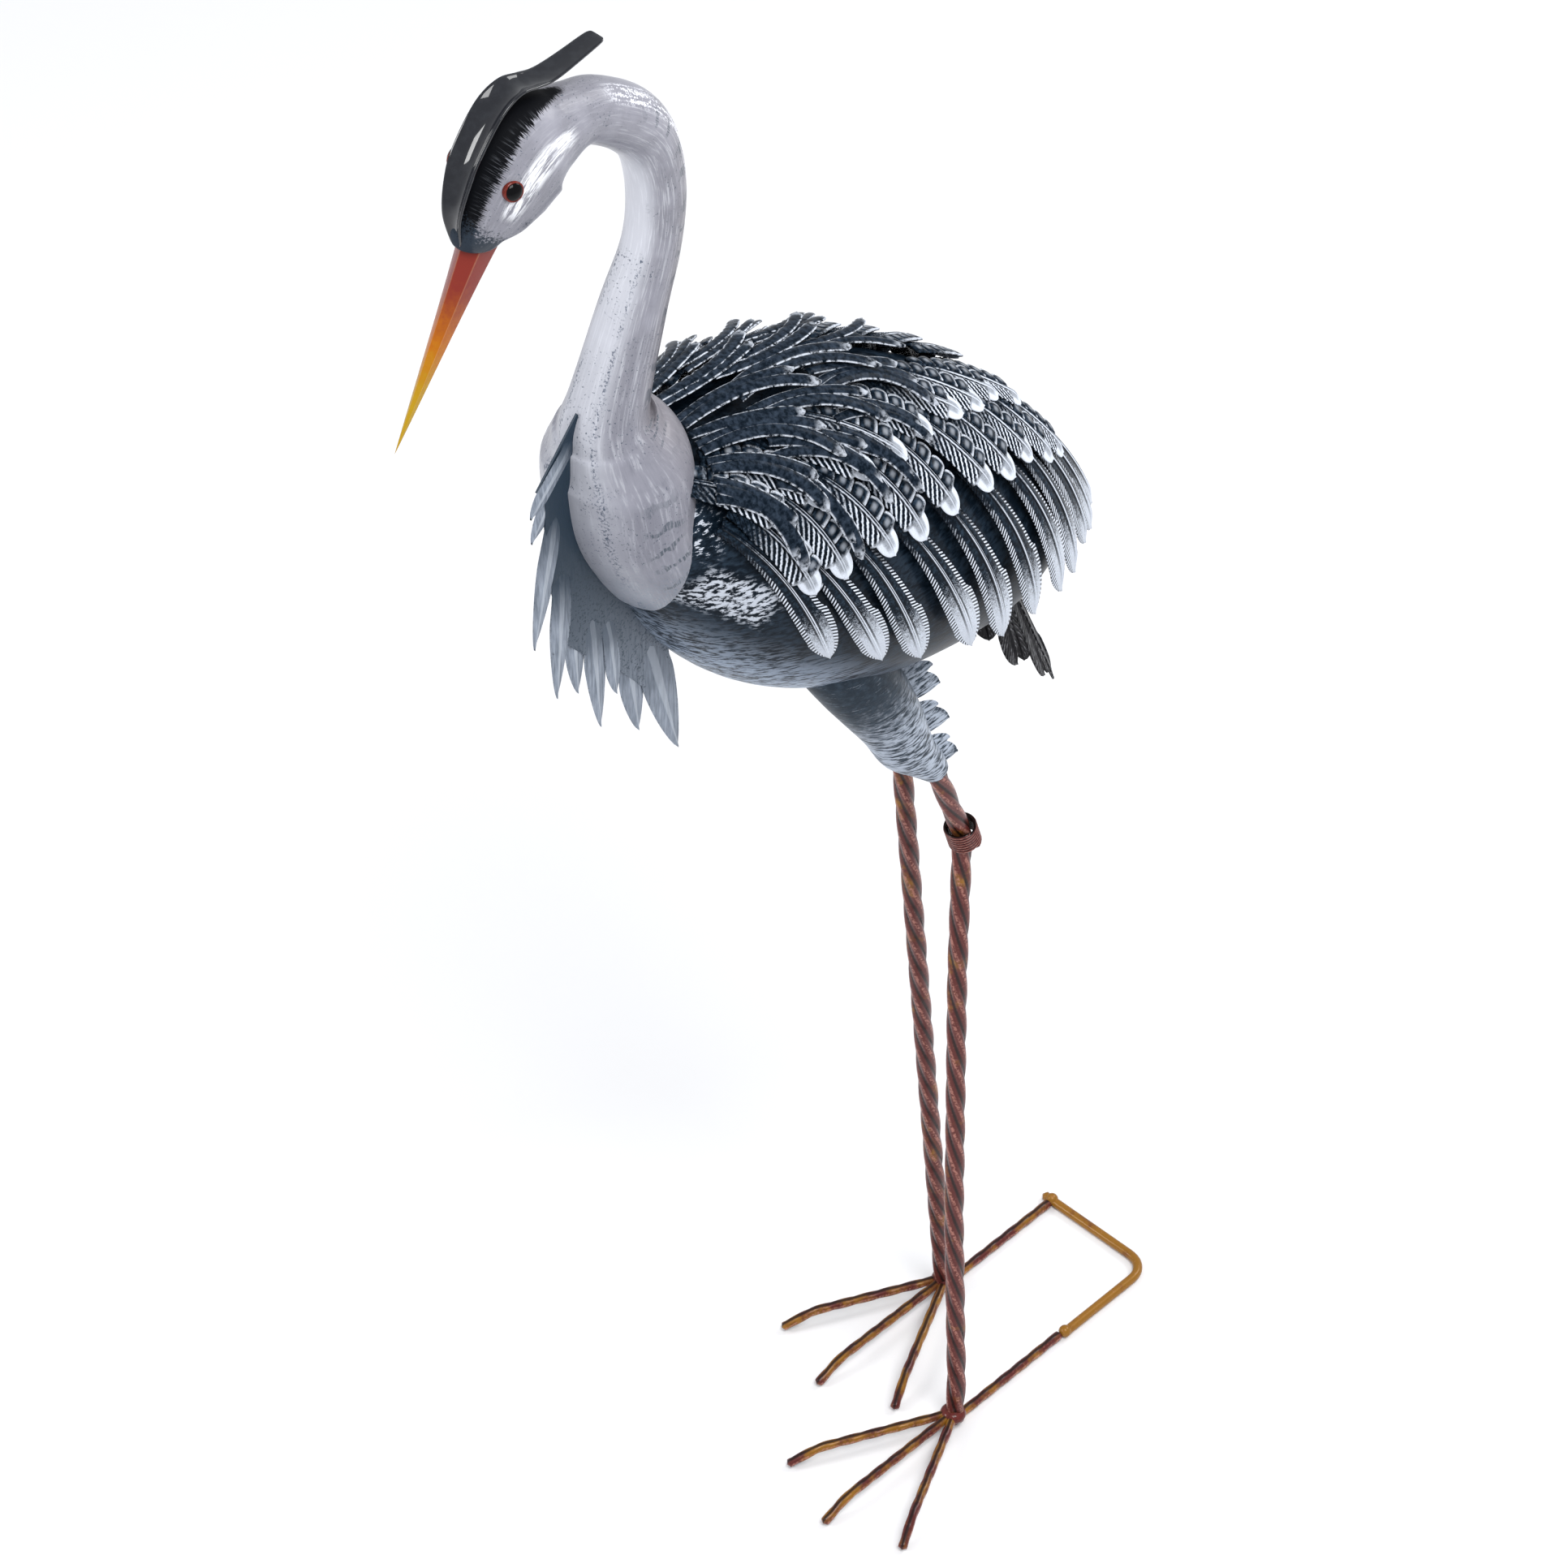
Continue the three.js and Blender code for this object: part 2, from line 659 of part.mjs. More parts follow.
function brace() {
  const { x, start, back, corner, end } = BRACE;
  const path = [point(x, start, ROD_RADIUS)];
  for (let i = 0; i <= 3; i++) {
    const angle = (Math.PI / 6) * i;
    const across = x - corner + corner * Math.cos(angle);
    path.push(point(across, back - corner + corner * Math.sin(angle), ROD_RADIUS));
  }
  path.push(point(end, back, ROD_RADIUS));
  return joined([rod(path), weld(x, start + WELD.radius), weld(ANKLES.right[0], back)]);
}

function mirrored(meshes) {
  const group = new THREE.Group();
  group.scale.x = -1;
  group.add(...meshes);
  return group;
}

function bodyGroup() {
  const group = new THREE.Group();
  group.add(piece("body_shell", bodyShell(), COLOURS.slate));
  group.add(piece("neck_and_head", neckAndHead(), COLOURS.pale));
  group.add(piece("beak", beak(), COLOURS.orange));
  group.add(piece("crest_plume", crest(), COLOURS.black));
  group.add(piece("breast_plume", breastPlume(), COLOURS.silver));
  group.add(piece("tail_feathers", tail(), COLOURS.bronze));
  group.add(piece("eye_left", eye(), COLOURS.black, 0.1));
  group.add(mirrored([piece("eye_right", eye(), COLOURS.black, 0.1)]));
  return group;
}

function wing(side) {
  const neck = neckOutline(GAP);
  const covers = WING_ROWS.map((row) => piece(`${row.name}_${side}`, wingRow(row, neck), COLOURS.slate));
  const plumes = PLUME_ROWS.map((row) => piece(`${row.name}_${side}`, plumeRow(row, neck), COLOURS.silver));
  return [...covers, ...plumes];
}

function thighs() {
  const shell = bodyOutline(GAP);
  const left = piece("thigh_left", thigh().subtract(shell), COLOURS.slate);
  const shift = RIGHT_THIGH_SHIFT.clone().negate();
  const right = piece("thigh_right", thigh().subtract(shell.translate(shift.toArray())), COLOURS.slate);
  const group = mirrored([right]);
  group.position.copy(RIGHT_THIGH_SHIFT);
  return [left, group];
}

function legGroup(side, corners) {
  const group = new THREE.Group();
  group.add(piece(`leg_${side}`, leg(corners), COLOURS.copper, 0.35));
  const ring = piece(`knee_coil_${side}`, coil(), COLOURS.copper, 0.35);
  ring.position.set(...corners.at(-2));
  ring.rotation.x = COIL.lean;
  group.add(ring);
  return group;
}

function foot(side, ankle, outward) {
  const toes = Object.entries(FRONT_TOES).map(([name, [rootAngle, tipAngle, reach]]) => {
    const toe = frontToe(ankle, rootAngle * outward, tipAngle * outward, reach);
    return piece(`toe_${side}_${name}`, toe, COLOURS.ochre, 0.35);
  });
  return [...toes, piece(`toe_${side}_rear`, rearToe(ankle), COLOURS.ochre, 0.35)];
}

const statue = new THREE.Group();
statue.add(bodyGroup());
statue.add(...wing("left"));
statue.add(mirrored(wing("right")));
statue.add(...thighs());
statue.add(legGroup("left", LEFT_LEG));
statue.add(legGroup("right", RIGHT_LEG));
statue.add(...foot("left", ANKLES.left, 1));
statue.add(...foot("right", ANKLES.right, -1));
statue.add(piece("rear_brace", brace(), COLOURS.ochre, 0.35));

// The origin is on the ground under the middle of the statue's box.
const middle = new THREE.Box3().setFromObject(statue).getCenter(point(0, 0, 0));
statue.position.set(-middle.x, -middle.y, 0);

const root = new THREE.Group();
root.add(statue);

export default root;
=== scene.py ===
"""Looks of a sheet metal garden heron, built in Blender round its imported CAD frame."""

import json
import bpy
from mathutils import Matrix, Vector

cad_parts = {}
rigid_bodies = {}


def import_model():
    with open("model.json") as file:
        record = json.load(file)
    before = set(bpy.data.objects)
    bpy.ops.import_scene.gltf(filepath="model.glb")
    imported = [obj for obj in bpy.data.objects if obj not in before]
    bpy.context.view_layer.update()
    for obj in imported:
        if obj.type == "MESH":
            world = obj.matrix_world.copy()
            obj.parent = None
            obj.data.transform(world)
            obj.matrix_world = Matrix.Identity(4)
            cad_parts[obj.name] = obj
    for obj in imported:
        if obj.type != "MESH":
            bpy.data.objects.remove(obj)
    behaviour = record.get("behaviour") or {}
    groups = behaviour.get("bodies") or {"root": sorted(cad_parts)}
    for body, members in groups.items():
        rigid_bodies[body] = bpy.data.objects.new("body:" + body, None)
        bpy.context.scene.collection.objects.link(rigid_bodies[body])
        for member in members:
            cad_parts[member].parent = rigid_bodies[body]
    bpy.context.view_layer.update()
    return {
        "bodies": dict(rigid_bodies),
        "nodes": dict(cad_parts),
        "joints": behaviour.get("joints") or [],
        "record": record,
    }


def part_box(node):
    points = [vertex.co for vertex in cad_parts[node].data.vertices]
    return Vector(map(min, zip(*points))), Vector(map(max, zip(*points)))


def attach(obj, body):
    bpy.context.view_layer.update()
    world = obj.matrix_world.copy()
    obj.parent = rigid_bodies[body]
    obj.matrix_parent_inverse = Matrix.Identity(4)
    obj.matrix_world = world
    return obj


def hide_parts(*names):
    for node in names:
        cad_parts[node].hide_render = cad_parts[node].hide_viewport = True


bl_info = {
    "name": "Garden Heron",
    "version": (1, 0, 0),
    "blender": (4, 5, 0),
    "location": "View3D > Sidebar > Heron",
    "description": "Models and paints a garden heron of sheet metal on twisted rod legs",
    "category": "Add Mesh",
}

from math import cos, exp, pi, sin, sqrt

import bmesh
import bpy
from bpy.props import FloatProperty, FloatVectorProperty, IntProperty, PointerProperty
from bpy.types import Operator, Panel, PropertyGroup
from mathutils import Matrix, Vector

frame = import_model()

# Lengths are in millimetres, and MM turns them into the frame's metres.
MM = 0.001
DEGREE = pi / 180
TURN = 2 * pi
X_AXIS, Y_AXIS, Z_AXIS = Matrix.Identity(3)
SIDES = (("left", False), ("right", True))

# The bird's own origin is on the ground in its middle plane, level with its left ankle. SHIFT_Y moves the
# bird along y to where the frame has it.
BEAK_TIP = (-321.4, 847)
SHIFT_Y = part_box("beak")[0].y / MM - BEAK_TIP[0]

# The body leans: s runs back along it and v rises from it.
LEAN = 38 * DEGREE
BODY_ORIGIN = Vector((0, -120, 680))
NAPE_END, REAR_END = -132, 225
NAPE_ROUND, REAR_ROUND = 36, 60
ALONG = Vector((0, cos(LEAN), -sin(LEAN)))
ACROSS = Vector((0, sin(LEAN), cos(LEAN)))

# Neck and head in the middle plane: y, z, half depth, half width.
NECK_STATIONS = (
    (-177, 668, 8, 10),
    (-174.6, 688, 20, 26),
    (-185.6, 719, 26, 37),
    (-193.8, 744, 28, 38.5),
    (-195, 770, 30, 35),
    (-199.5, 788, 23.5, 25),
    (-199, 801, 18.3, 17.9),
    (-184, 843, 15, 14.7),
    (-172, 872, 13, 12.8),
    (-168.6, 899, 12.9, 12.9),
    (-173, 926, 13.3, 13.3),
    (-185, 945, 14.4, 14.4),
    (-204, 960, 14.3, 14.3),
    (-216, 964, 14.7, 14.4),
    (-229, 964, 19.2, 16.3),
    (-244.5, 962, 26.8, 20.8),
    (-257, 952, 25.2, 19.7),
    (-264.5, 943.5, 20.8, 17),
    (-269.8, 936, 14.5, 12.4),
    (-271.3, 929, 9.4, 8.3),
)
BEAK_BASE = (-269, 932, 8.7, 7.2)
BEAK_SIDES = 6

# Crest in the middle plane: y, z, half width.
CREST_STATIONS = (
    (-282, 933.4, 2.5),
    (-283.5, 949.9, 5),
    (-278.5, 966.4, 7),
    (-272, 977.9, 7.5),
    (-260.5, 990.7, 7.5),
    (-250, 995.4, 7),
    (-240, 993.7, 6.5),
    (-231, 992.8, 6),
    (-217, 994.4, 5.3),
    (-203, 996.4, 4.5),
    (-199.7, 996.4, 3),
)

# An eye's ring and bead are turned about its axis: radius and height.
EYE_RIM = ((4.6, -3), (4.6, 0), (4.4, 0.6), (4, 0.9), (3.7, 0.7), (3.4, 0))
EYE_DOME = ((3.9, -1), (3.9, 0.6), (3.1, 1.4), (1.8, 1.9), (0, 2.1))
EYE_AT = Vector((17.3, -265.5, 962))
EYE_FACING = Vector((0.94, -0.22, 0.26))

# Breast plume: each tooth's tip and the notch behind it, y and z.
COMB_FRONT = ((-218, 806), (-243, 777))
COMB_TEETH = (
    ((-247.8, 766.5), (-238, 771)),
    ((-246.5, 751), (-238.6, 755)),
    ((-247.7, 691), (-236, 716)),
    ((-235.7, 655), (-227.9, 680)),
    ((-221.8, 648), (-217.4, 667)),
    ((-209.2, 620), (-205.6, 658)),
    ((-199.6, 634), (-196.4, 644)),
    ((-185.2, 601.4), (-181, 623)),
    ((-161.4, 575.3), (-165, 628)),
)
COMB_BACK = ((-167, 645), (-190, 700), (-205, 780))
TOOTH_ROOT = 30

# Left thigh from its lower end up: x, y, z, half depth, half width.
THIGH_STATIONS = (
    (24, -13.5, 474, 6.5, 6.5),
    (24.3, -21, 488, 11.5, 9),
    (25, -32, 510, 20, 13),
    (26, -43, 535, 23, 16),
    (27, -56, 560, 26, 18),
    (28, -70, 585, 28, 19),
    (27, -84, 610, 28, 20),
    (24, -98, 635, 22, 18),
)
THIGH_TEETH = ((-26.4, 561), (-19.5, 548), (-14, 533), (-15, 520), (-7, 506), (-6.4, 493), (-0.5, 480))
THIGH_TOOTH_LENGTH = 26
THIGH_TOOTH_HALF_WIDTH = 8
RIGHT_THIGH_SHIFT = Vector((0, 8, 13))

# A covert's slanted barbs on one side and its round lobes on the other, counted along its length.
BARBS = 16
LOBES = 7

# How far the tip of a wing feather rises from the wing cover.
WING_TIP_RISE = 4.6

# Back plumes: how many, their start along s, length, angles up the flank, rise at root and tip.
PLUME_ROWS = {
    "back_plumes_front": (10, -92, 52, (24, 83), (3.6, 9.6)),
    "back_plumes_middle": (9, -64, 56, (32, 84), (4.4, 10)),
    "back_plumes_rear": (8, -26, 52, (46, 84), (3.8, 8.8)),
}
TAIL_HALF_WIDTH = 8.6

# Each leg from its ankle up, with its knee last but one.
LEGS = {
    "left": ((34, 1, 0), (33.3, 2.9, 31), (30.3, 0.9, 155), (26.3, 3, 324), (24, 6.5, 419), (24, -16.6, 482)),
    "right": ((-34, 66, 0), (-23.8, 13.5, 440), (-24, -8.8, 495)),
}
ANKLES = {"left": (34, 0), "right": (-34, 66)}
COIL_LEAN = 0.3
COIL_RADIUS = 8.3
COIL_HEIGHT = 15.6

# A front toe's angle at its root and at its tip, in degrees out from straight ahead, and its reach.
FRONT_TOES = {"inner": (-47, -26.5, 92), "middle": (0, 0, 98), "outer": (47, 26.5, 92)}
TOE_ROOT_HEIGHT = 7.6
TOE_BEND = 18
REAR_TOE = (3, 83.5)
TOE_PITCH = 26
TOE_GROOVE = 0.42
ROD_RADIUS = 2.55
BEAD_RADIUS = 6.9
WELD_RADIUS = 3.4
BRACE = {"x": 35, "start": 82.2, "back": 151.3, "corner": 12, "end": -41}

# Pale copper for the painted highlights on the bars and coils.
COPPER_HIGHLIGHT = (0.5, 0.22, 0.17)
FLOOR_TINT = (0.86, 0.86, 0.87)

# The lamps' places in metres, their sizes and watts, and the point they aim at.
LIGHTS = (
    ("key", (1.4, -0.6, 3.2), 1.6, 72),
    ("fill", (-1.6, -2.2, 1.8), 0.9, 28),
    ("rim", (0.6, 2.4, 2.2), 1.2, 30),
)
LIGHTS_AIM = Vector((0, 0, 0.7))


def spline(values, t):
    """A smooth value at t, from 0 to 1, through evenly spaced values."""
    spot = min(max(t, 0), 1) * (len(values) - 1)
    i = min(int(spot), len(values) - 2)
    f = spot - i
    a, b = values[max(i - 1, 0)], values[i]
    c, d = values[i + 1], values[min(i + 2, len(values) - 1)]
    return b + 0.5 * f * (c - a + f * (2 * a - 5 * b + 4 * c - d + f * (3 * (b - c) + d - a)))


def along_stations(stations, t):
    """Every column of a table of stations at t."""
    return [spline(column, t) for column in zip(*stations)]


def place(point):
    """A point in the bird's own millimetres, in the frame's metres."""
    return Vector((point.x, point.y + SHIFT_Y, point.z)) * MM


def step(value, low, high):
    """Rises smoothly from 0 to 1 as the value goes from low to high."""
    t = min(max((value - low) / (high - low), 0), 1)
    return t * t * (3 - 2 * t)


def faces_of(vertices):
    return list({face for vertex in vertices for face in vertex.link_faces})


def add_sheet(bm, along, across, at, tone=0.5, mirrored=False):
    """A grid of quads laid on at(u, w), with u along it and w across it, both from 0 to 1."""
    bm.loops.layers.uv.verify()
    tones = bm.verts.layers.float.get("tone") or bm.verts.layers.float.new("tone")
    made = bmesh.ops.create_grid(bm, x_segments=across, y_segments=along, size=0.5, calc_uvs=True)["verts"]
    for vertex in made:
        u, w = vertex.co.y + 0.5, vertex.co.x + 0.5
        vertex[tones] = tone
        point = place(at(u, w))
        vertex.co = Vector((-point.x, point.y, point.z)) if mirrored else point
    if mirrored:
        bmesh.ops.reverse_faces(bm, faces=faces_of(made))
    return made


def close_up(bm, vertices):
    """Joins a sheet that was rolled to a tube along its seam, and turns it to face out."""
    bmesh.ops.remove_doubles(bm, verts=vertices, dist=0.002 * MM)
    bmesh.ops.recalc_face_normals(bm, faces=bm.faces)


def finished(bm, name, material, slot, nodes, crease=60, thickness=0):
    """Makes the mesh an object of the statue."""
    mesh = bpy.data.meshes.new(name)
    bm.to_mesh(mesh)
    bm.free()
    mesh.polygons.foreach_set("use_smooth", [True] * len(mesh.polygons))
    mesh.set_sharp_from_angle(angle=crease * DEGREE)
    mesh.materials.append(material)
    piece = bpy.data.objects.new(name, mesh)
    bpy.context.scene.collection.objects.link(piece)
    if thickness:
        solid = piece.modifiers.new("Sheet thickness", "SOLIDIFY")
        solid.thickness = thickness * MM
        solid.offset = -1
    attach(piece, "root")
    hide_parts(*nodes)


def rolled(name, rings, sides, at, material, slot, nodes, mirrored=False, **looks):
    """Makes a piece of the statue out of one sheet rolled to a tube."""
    bm = bmesh.new()
    close_up(bm, add_sheet(bm, rings, sides, at, mirrored=mirrored))
    finished(bm, name, material, slot, nodes, **looks)


def square_to(reference, tangent):
    """Two directions square to the tangent, the first of them nearest to the reference."""
    first = (reference - reference.dot(tangent) * tangent).normalized()
    return first, tangent.cross(first)


def path_frame(points, t, reference=X_AXIS):
    """The place on a smooth path at t, with a direction along the reference and one square to both."""
    centre, ahead, behind = (
        Vector(along_stations(points, share)) for share in (t, min(t + 0.004, 1), max(t - 0.004, 0))
    )
    return centre, *square_to(reference, (ahead - behind).normalized())


def oval(frame, w, wide, deep):
    """A place on an oval round a frame's centre, w of a turn from its first direction."""
    centre, first, second = frame
    return centre + first * (wide * cos(TURN * w)) + second * (deep * sin(TURN * w))


def round_end(t, share):
    """How wide a tube is at t, where it rounds off over a share of its length at both ends."""
    near = min(t, 1 - t) / share
    return 1 if near >= 1 else sqrt(max(1 - (1 - near) ** 2, 0))


class Wire:
    """A shader socket that sums and products can be written with."""

    def __init__(self, finish, socket):
        self.finish = finish
        self.socket = socket

    def maths(self, operation, first, second=0.0):
        return self.finish.node("ShaderNodeMath", {0: first, 1: second}, operation=operation)

    def __add__(self, other):
        return self.maths("ADD", self, other)

    def __radd__(self, other):
        return self.maths("ADD", other, self)

    def __sub__(self, other):
        return self.maths("SUBTRACT", self, other)

    def __rsub__(self, other):
        return self.maths("SUBTRACT", other, self)

    def __mul__(self, other):
        return self.maths("MULTIPLY", self, other)

    def __rmul__(self, other):
        return self.maths("MULTIPLY", other, self)

    def __abs__(self):
        return self.maths("ABSOLUTE", self)

    def sine(self):
        return self.maths("SINE", self)

    def fraction(self):
        return self.maths("FRACT", self)

    def most(self, other):
        return self.maths("MAXIMUM", self, other)

    def least(self, other):
        return self.maths("MINIMUM", self, other)

    def over(self, low, high):
        """Rises smoothly from 0 to 1 as the value goes from low to high."""
        ends = {"Value": self, "From Min": low, "From Max": high}
        return self.finish.node("ShaderNodeMapRange", ends, interpolation_type="SMOOTHSTEP")

    def under(self, low, high):
        """Falls smoothly from 1 to 0 as the value goes from low to high."""
        return 1 - self.over(low, high)

    def near(self, centre, inner, outer):
        """Is 1 up to inner away from the centre, and falls to 0 at outer."""
        return abs(self - centre).under(inner, outer)


class Finish:
    """A material with one Principled shader, painted in layers over a ground colour."""

    def __init__(self, name, ground, roughness=0.3, metallic=0, coat=0.03, coat_roughness=0.08, gloss=0.03):
        self.material = bpy.data.materials.new(name)
        self.material.use_nodes = True
        self.tree = self.material.node_tree
        self.shader = self.tree.nodes["Principled BSDF"]
        self.tint = ground
        self.put("Roughness", roughness)
        self.put("Metallic", metallic)
        self.put("Coat Weight", coat)
        self.put("Coat Roughness", coat_roughness)
        self.put("Specular IOR Level", gloss)

    def link(self, socket, value):
        if isinstance(value, Wire):
            self.tree.links.new(value.socket, socket)
        elif socket.type == "RGBA":
            socket.default_value = (*value[:3], 1)
        else:
            socket.default_value = value

    def put(self, name, value):
        """Sets one input of the shader."""
        self.link(self.shader.inputs[name], value)

    def node(self, kind, inputs=None, output=0, **settings):
        made = self.tree.nodes.new(kind)
        for name, value in settings.items():
            setattr(made, name, value)
        for socket, value in (inputs or {}).items():
            self.link(made.inputs[socket], value)
        return Wire(self, made.outputs[output])

    def uv(self):
        """The piece's own map, as a vector."""
        return self.node("ShaderNodeUVMap")

    def place(self):
        """Object coordinates in millimetres, as a vector."""
        metres = self.node("ShaderNodeTexCoord", output="Object")
        return self.node("ShaderNodeVectorMath", {0: metres, 1: (1 / MM,) * 3}, operation="MULTIPLY")

    def split(self, vector):
        """The three numbers of a vector."""
        first = self.node("ShaderNodeSeparateXYZ", {0: vector})
        return [Wire(self, socket) for socket in first.socket.node.outputs]

    def chart(self):
        """How far across and how far along the piece's own map, from 0 to 1."""
        return self.split(self.uv())[:2]

    def noise(self, scale, detail, stretch=(1, 1, 1), vector=None):
        """Noise from 0 to 1 over the millimetres of the object, or over another vector."""
        mapped = self.node("ShaderNodeMapping", {"Vector": vector or self.place(), "Scale": stretch})
        inputs = {"Vector": mapped, "Scale": scale, "Detail": detail, "Roughness": 0.6}
        return self.node("ShaderNodeTexNoise", inputs)

    def layer(self, mask, tint):
        """Lays a tint over the colour so far, as far as the mask goes."""
        self.tint = self.node("ShaderNodeMix", {0: mask, 6: self.tint, 7: tint}, output=2, data_type="RGBA")

    def relief(self, height, distance, strength):
        """Raises the surface by a height from 0 to 1, over a distance in millimetres."""
        inputs = {"Height": height, "Distance": distance * MM, "Strength": strength}
        self.put("Normal", self.node("ShaderNodeBump", inputs))

    def done(self):
        """The material, once its last layer is on."""
        self.put("Base Color", self.tint)
        return self.material


COLOURS = {
    "slate": ("Ground of the feathers and body", (0.003, 0.007, 0.013)),
    # Silver also paints the highlights along the feathers' shafts and on the lobes.
    "silver": ("Dry brushed tips of feathers", (0.74, 0.79, 0.88)),
    "white": ("Neck and head", (0.3, 0.3, 0.345)),
    "black": ("Crown stripe", (0.002, 0.0025, 0.004)),
    "red": ("Root of the beak", (0.2, 0.024, 0.016)),
    "orange": ("Tip of the beak", (0.42, 0.12, 0.002)),
    "copper": ("Legs", (0.1, 0.02, 0.017)),
    "ochre": ("Toes and brace", (0.27, 0.12, 0.014)),
    "bronze": ("Tail", (0.012, 0.012, 0.014)),
}


class HeronColours(PropertyGroup):
    """Paints of the statue."""

    __annotations__ = {
        name: FloatVectorProperty(name=name.title(), description=use, subtype="COLOR", default=tint)
        for name, (use, tint) in COLOURS.items()
    }


class HeronBody(PropertyGroup):
    """Sizes of the body and the neck."""

    body_rings: IntProperty(name="Body rings", description="Rings along the body", default=72, min=12)
    body_sides: IntProperty(name="Body sides", description="Faces round the body", default=64, min=12)
    neck_rings: IntProperty(name="Neck rings", description="Rings along neck and head", default=200, min=40)
    neck_sides: IntProperty(name="Neck sides", description="Faces round the neck", default=56, min=12)


class HeronFeathers(PropertyGroup):
    """Sizes of the feathers, in millimetres."""

    thickness: FloatProperty(name="Sheet", description="Thickness of a feather", default=0.7, min=0.3)
    covert_run: FloatProperty(name="Covert length", description="Along the wing", default=56, min=20)
    covert_width: FloatProperty(name="Covert width", description="At its widest", default=20, min=5)
    flight_run: FloatProperty(name="Flight length", description="Along the wing", default=104, min=40)
    flight_width: FloatProperty(name="Flight width", description="At its widest", default=20, min=5)
    plume_width: FloatProperty(name="Plume width", description="At its widest", default=5.6, min=2)


class HeronLegs(PropertyGroup):
    """Sizes of the legs and feet, in millimetres."""

    bar_ridge: FloatProperty(name="Bar ridge", description="Radius at a strand", default=5.1, min=1)
    bar_groove: FloatProperty(name="Bar groove", description="Depth between strands", default=1.5, min=0)
    bar_pitch: FloatProperty(name="Bar pitch", description="Length of a full turn", default=97, min=10)
    coil_turns: IntProperty(name="Coil turns", description="Turns of wire round a knee", default=7, min=2)
    wire_radius: FloatProperty(name="Coil wire", description="Radius of the wire", default=0.9, min=0.3)


class HeronStage(PropertyGroup):
    """Camera."""

    lens: FloatProperty(
        name="Lens", description="Focal length in millimetres on a 36 mm sensor", default=149.07, min=20
    )
    camera: FloatVectorProperty(
        name="Camera",
        description="Place of the camera",
        subtype="TRANSLATION",
        unit="LENGTH",
        default=(1.52193, -1.57751, 2.58939),
    )
    yaw: FloatProperty(
        name="Yaw", description="Turn about the vertical", subtype="ANGLE", default=44.13 * DEGREE
    )
    pitch: FloatProperty(
        name="Pitch", description="How far the camera looks down", subtype="ANGLE", default=43.67 * DEGREE
    )


SETTINGS = {
    "heron_colours": HeronColours,
    "heron_body": HeronBody,
    "heron_feathers": HeronFeathers,
    "heron_legs": HeronLegs,
    "heron_stage": HeronStage,
}


# The body's outline over s: how far it narrows at the nape, its spine, its half width and its flank.
def nape_at(s):
    return (max(10 - s, 0) / 110) ** 1.5


def spine_at(s):
    return 95 - 0.0016 * (s - 74) ** 2 - 11 * nape_at(s)


def half_width_at(s):
    return 70 - (0.00098 if s < 60 else 0.0012) * (s - 60) ** 2 - 7 * nape_at(s)


def flank_depth_at(s):
    return 80 - 44 * (max(90 - s, 0) / 183) ** 2.4 - 8.8 * nape_at(s)


def body_point(out, s, v):
    return Vector((out, 0, 0)) + BODY_ORIGIN + ALONG * s + ACROSS * v


def cover_point(s, phi, rise):
    """A place on the wing cover at the angle phi up the flank, risen by some millimetres."""
    depth = flank_depth_at(s)
    up = spine_at(s) - depth + (depth + rise) * sin(phi * DEGREE)
    return body_point((half_width_at(s) + rise) * cos(phi * DEGREE), s, up)


def feather_frame(root, tip, rise, u, bow=0):
    """A feather's line over the wing cover: its middle, and its directions to the side and out."""

    def at(share, turn):
        s = root[0] + (tip[0] - root[0]) * share
        phi = root[1] + (tip[1] - root[1]) * share + turn + bow * 4 * share * (1 - share)
        return cover_point(s, phi, rise[0] + (rise[1] - rise[0]) * share)

    along = (at(u + 0.02, 0) - at(u - 0.02, 0)).normalized()
    out = along.cross(at(u, 1) - at(u, -1)).normalized()
    return at(u, 0), out.cross(along), out


def covert_form(u, x):
    """Half width share and height of a covert: barbs on its front side and stepped lobes on its rear one."""
    wide = min(1, 0.6 + 1.4 * u)
    away = abs(x)
    spoon = step(u, 0.8, 0.85)
    vane = 1 - spoon
    wide *= 1 - 0.36 * spoon
    if u > 0.86:
        wide *= sqrt(max(1 - ((u - 0.86) / 0.14) ** 2, 0))
    height = (1.7 * (1 - away) + 0.9 * exp(-((x / 0.1) ** 2))) * (1 - 0.7 * step(u, 0.86, 1))
    if x < 0:
        barb = abs(sin(pi * BARBS * (u - 0.17 * away)))
        wide *= 1 - 0.16 * vane * (1 - barb) ** 2
        height += vane * step(away, 0.12, 0.3) * barb
    else:
        lobe = (LOBES * u) % 1
        swell = sin(pi * lobe) ** 0.5 * (1 - 0.5 * away**4)
        wide *= 1 - 0.2 * vane * (2 * abs(lobe - 0.5)) ** 3
        height += 1.3 * vane * step(away, 0.15, 0.3) * swell
    return wide, height


def flight_form(u, x):
    """Half width share and height of a flight feather: smooth vanes with notched rims."""
    wide = min(1, 0.5 + 0.8 * u)
    if u > 0.74:
        wide *= max(1 - ((u - 0.74) / 0.26) ** 2, 0) ** 0.7
    if x < 0:
        wide *= 0.86 + 0.1 * step(u, 0.84, 0.86)
    else:
        wide *= 0.8 + 0.2 * step(u, 0.64, 0.67)
    away = abs(x)
    shaft = 0.8 * exp(-((x / 0.09) ** 2)) - 0.6 * exp(-(((away - 0.2) / 0.07) ** 2))
    return wide, (2 * (1 - away**1.5) + shaft) * (1 - 0.7 * step(u, 0.86, 1))


def plume_form(u, x):
    """Half width share and height of a plume with smooth rims."""
    wide = min(1, 0.6 + 1.4 * u)
    if u > 0.9:
        wide *= sqrt(max(1 - ((u - 0.9) / 0.1) ** 2, 0))
    return wide, 0.9 * (1 - x * x)


def scalloped_form(u, x):
    """The same with a row of scallops along both rims."""
    wide, height = plume_form(u, x)
    wave = abs(sin(pi * 11 * u))
    return wide * (0.84 + 0.16 * wave), height + 0.5 * wave * abs(x)


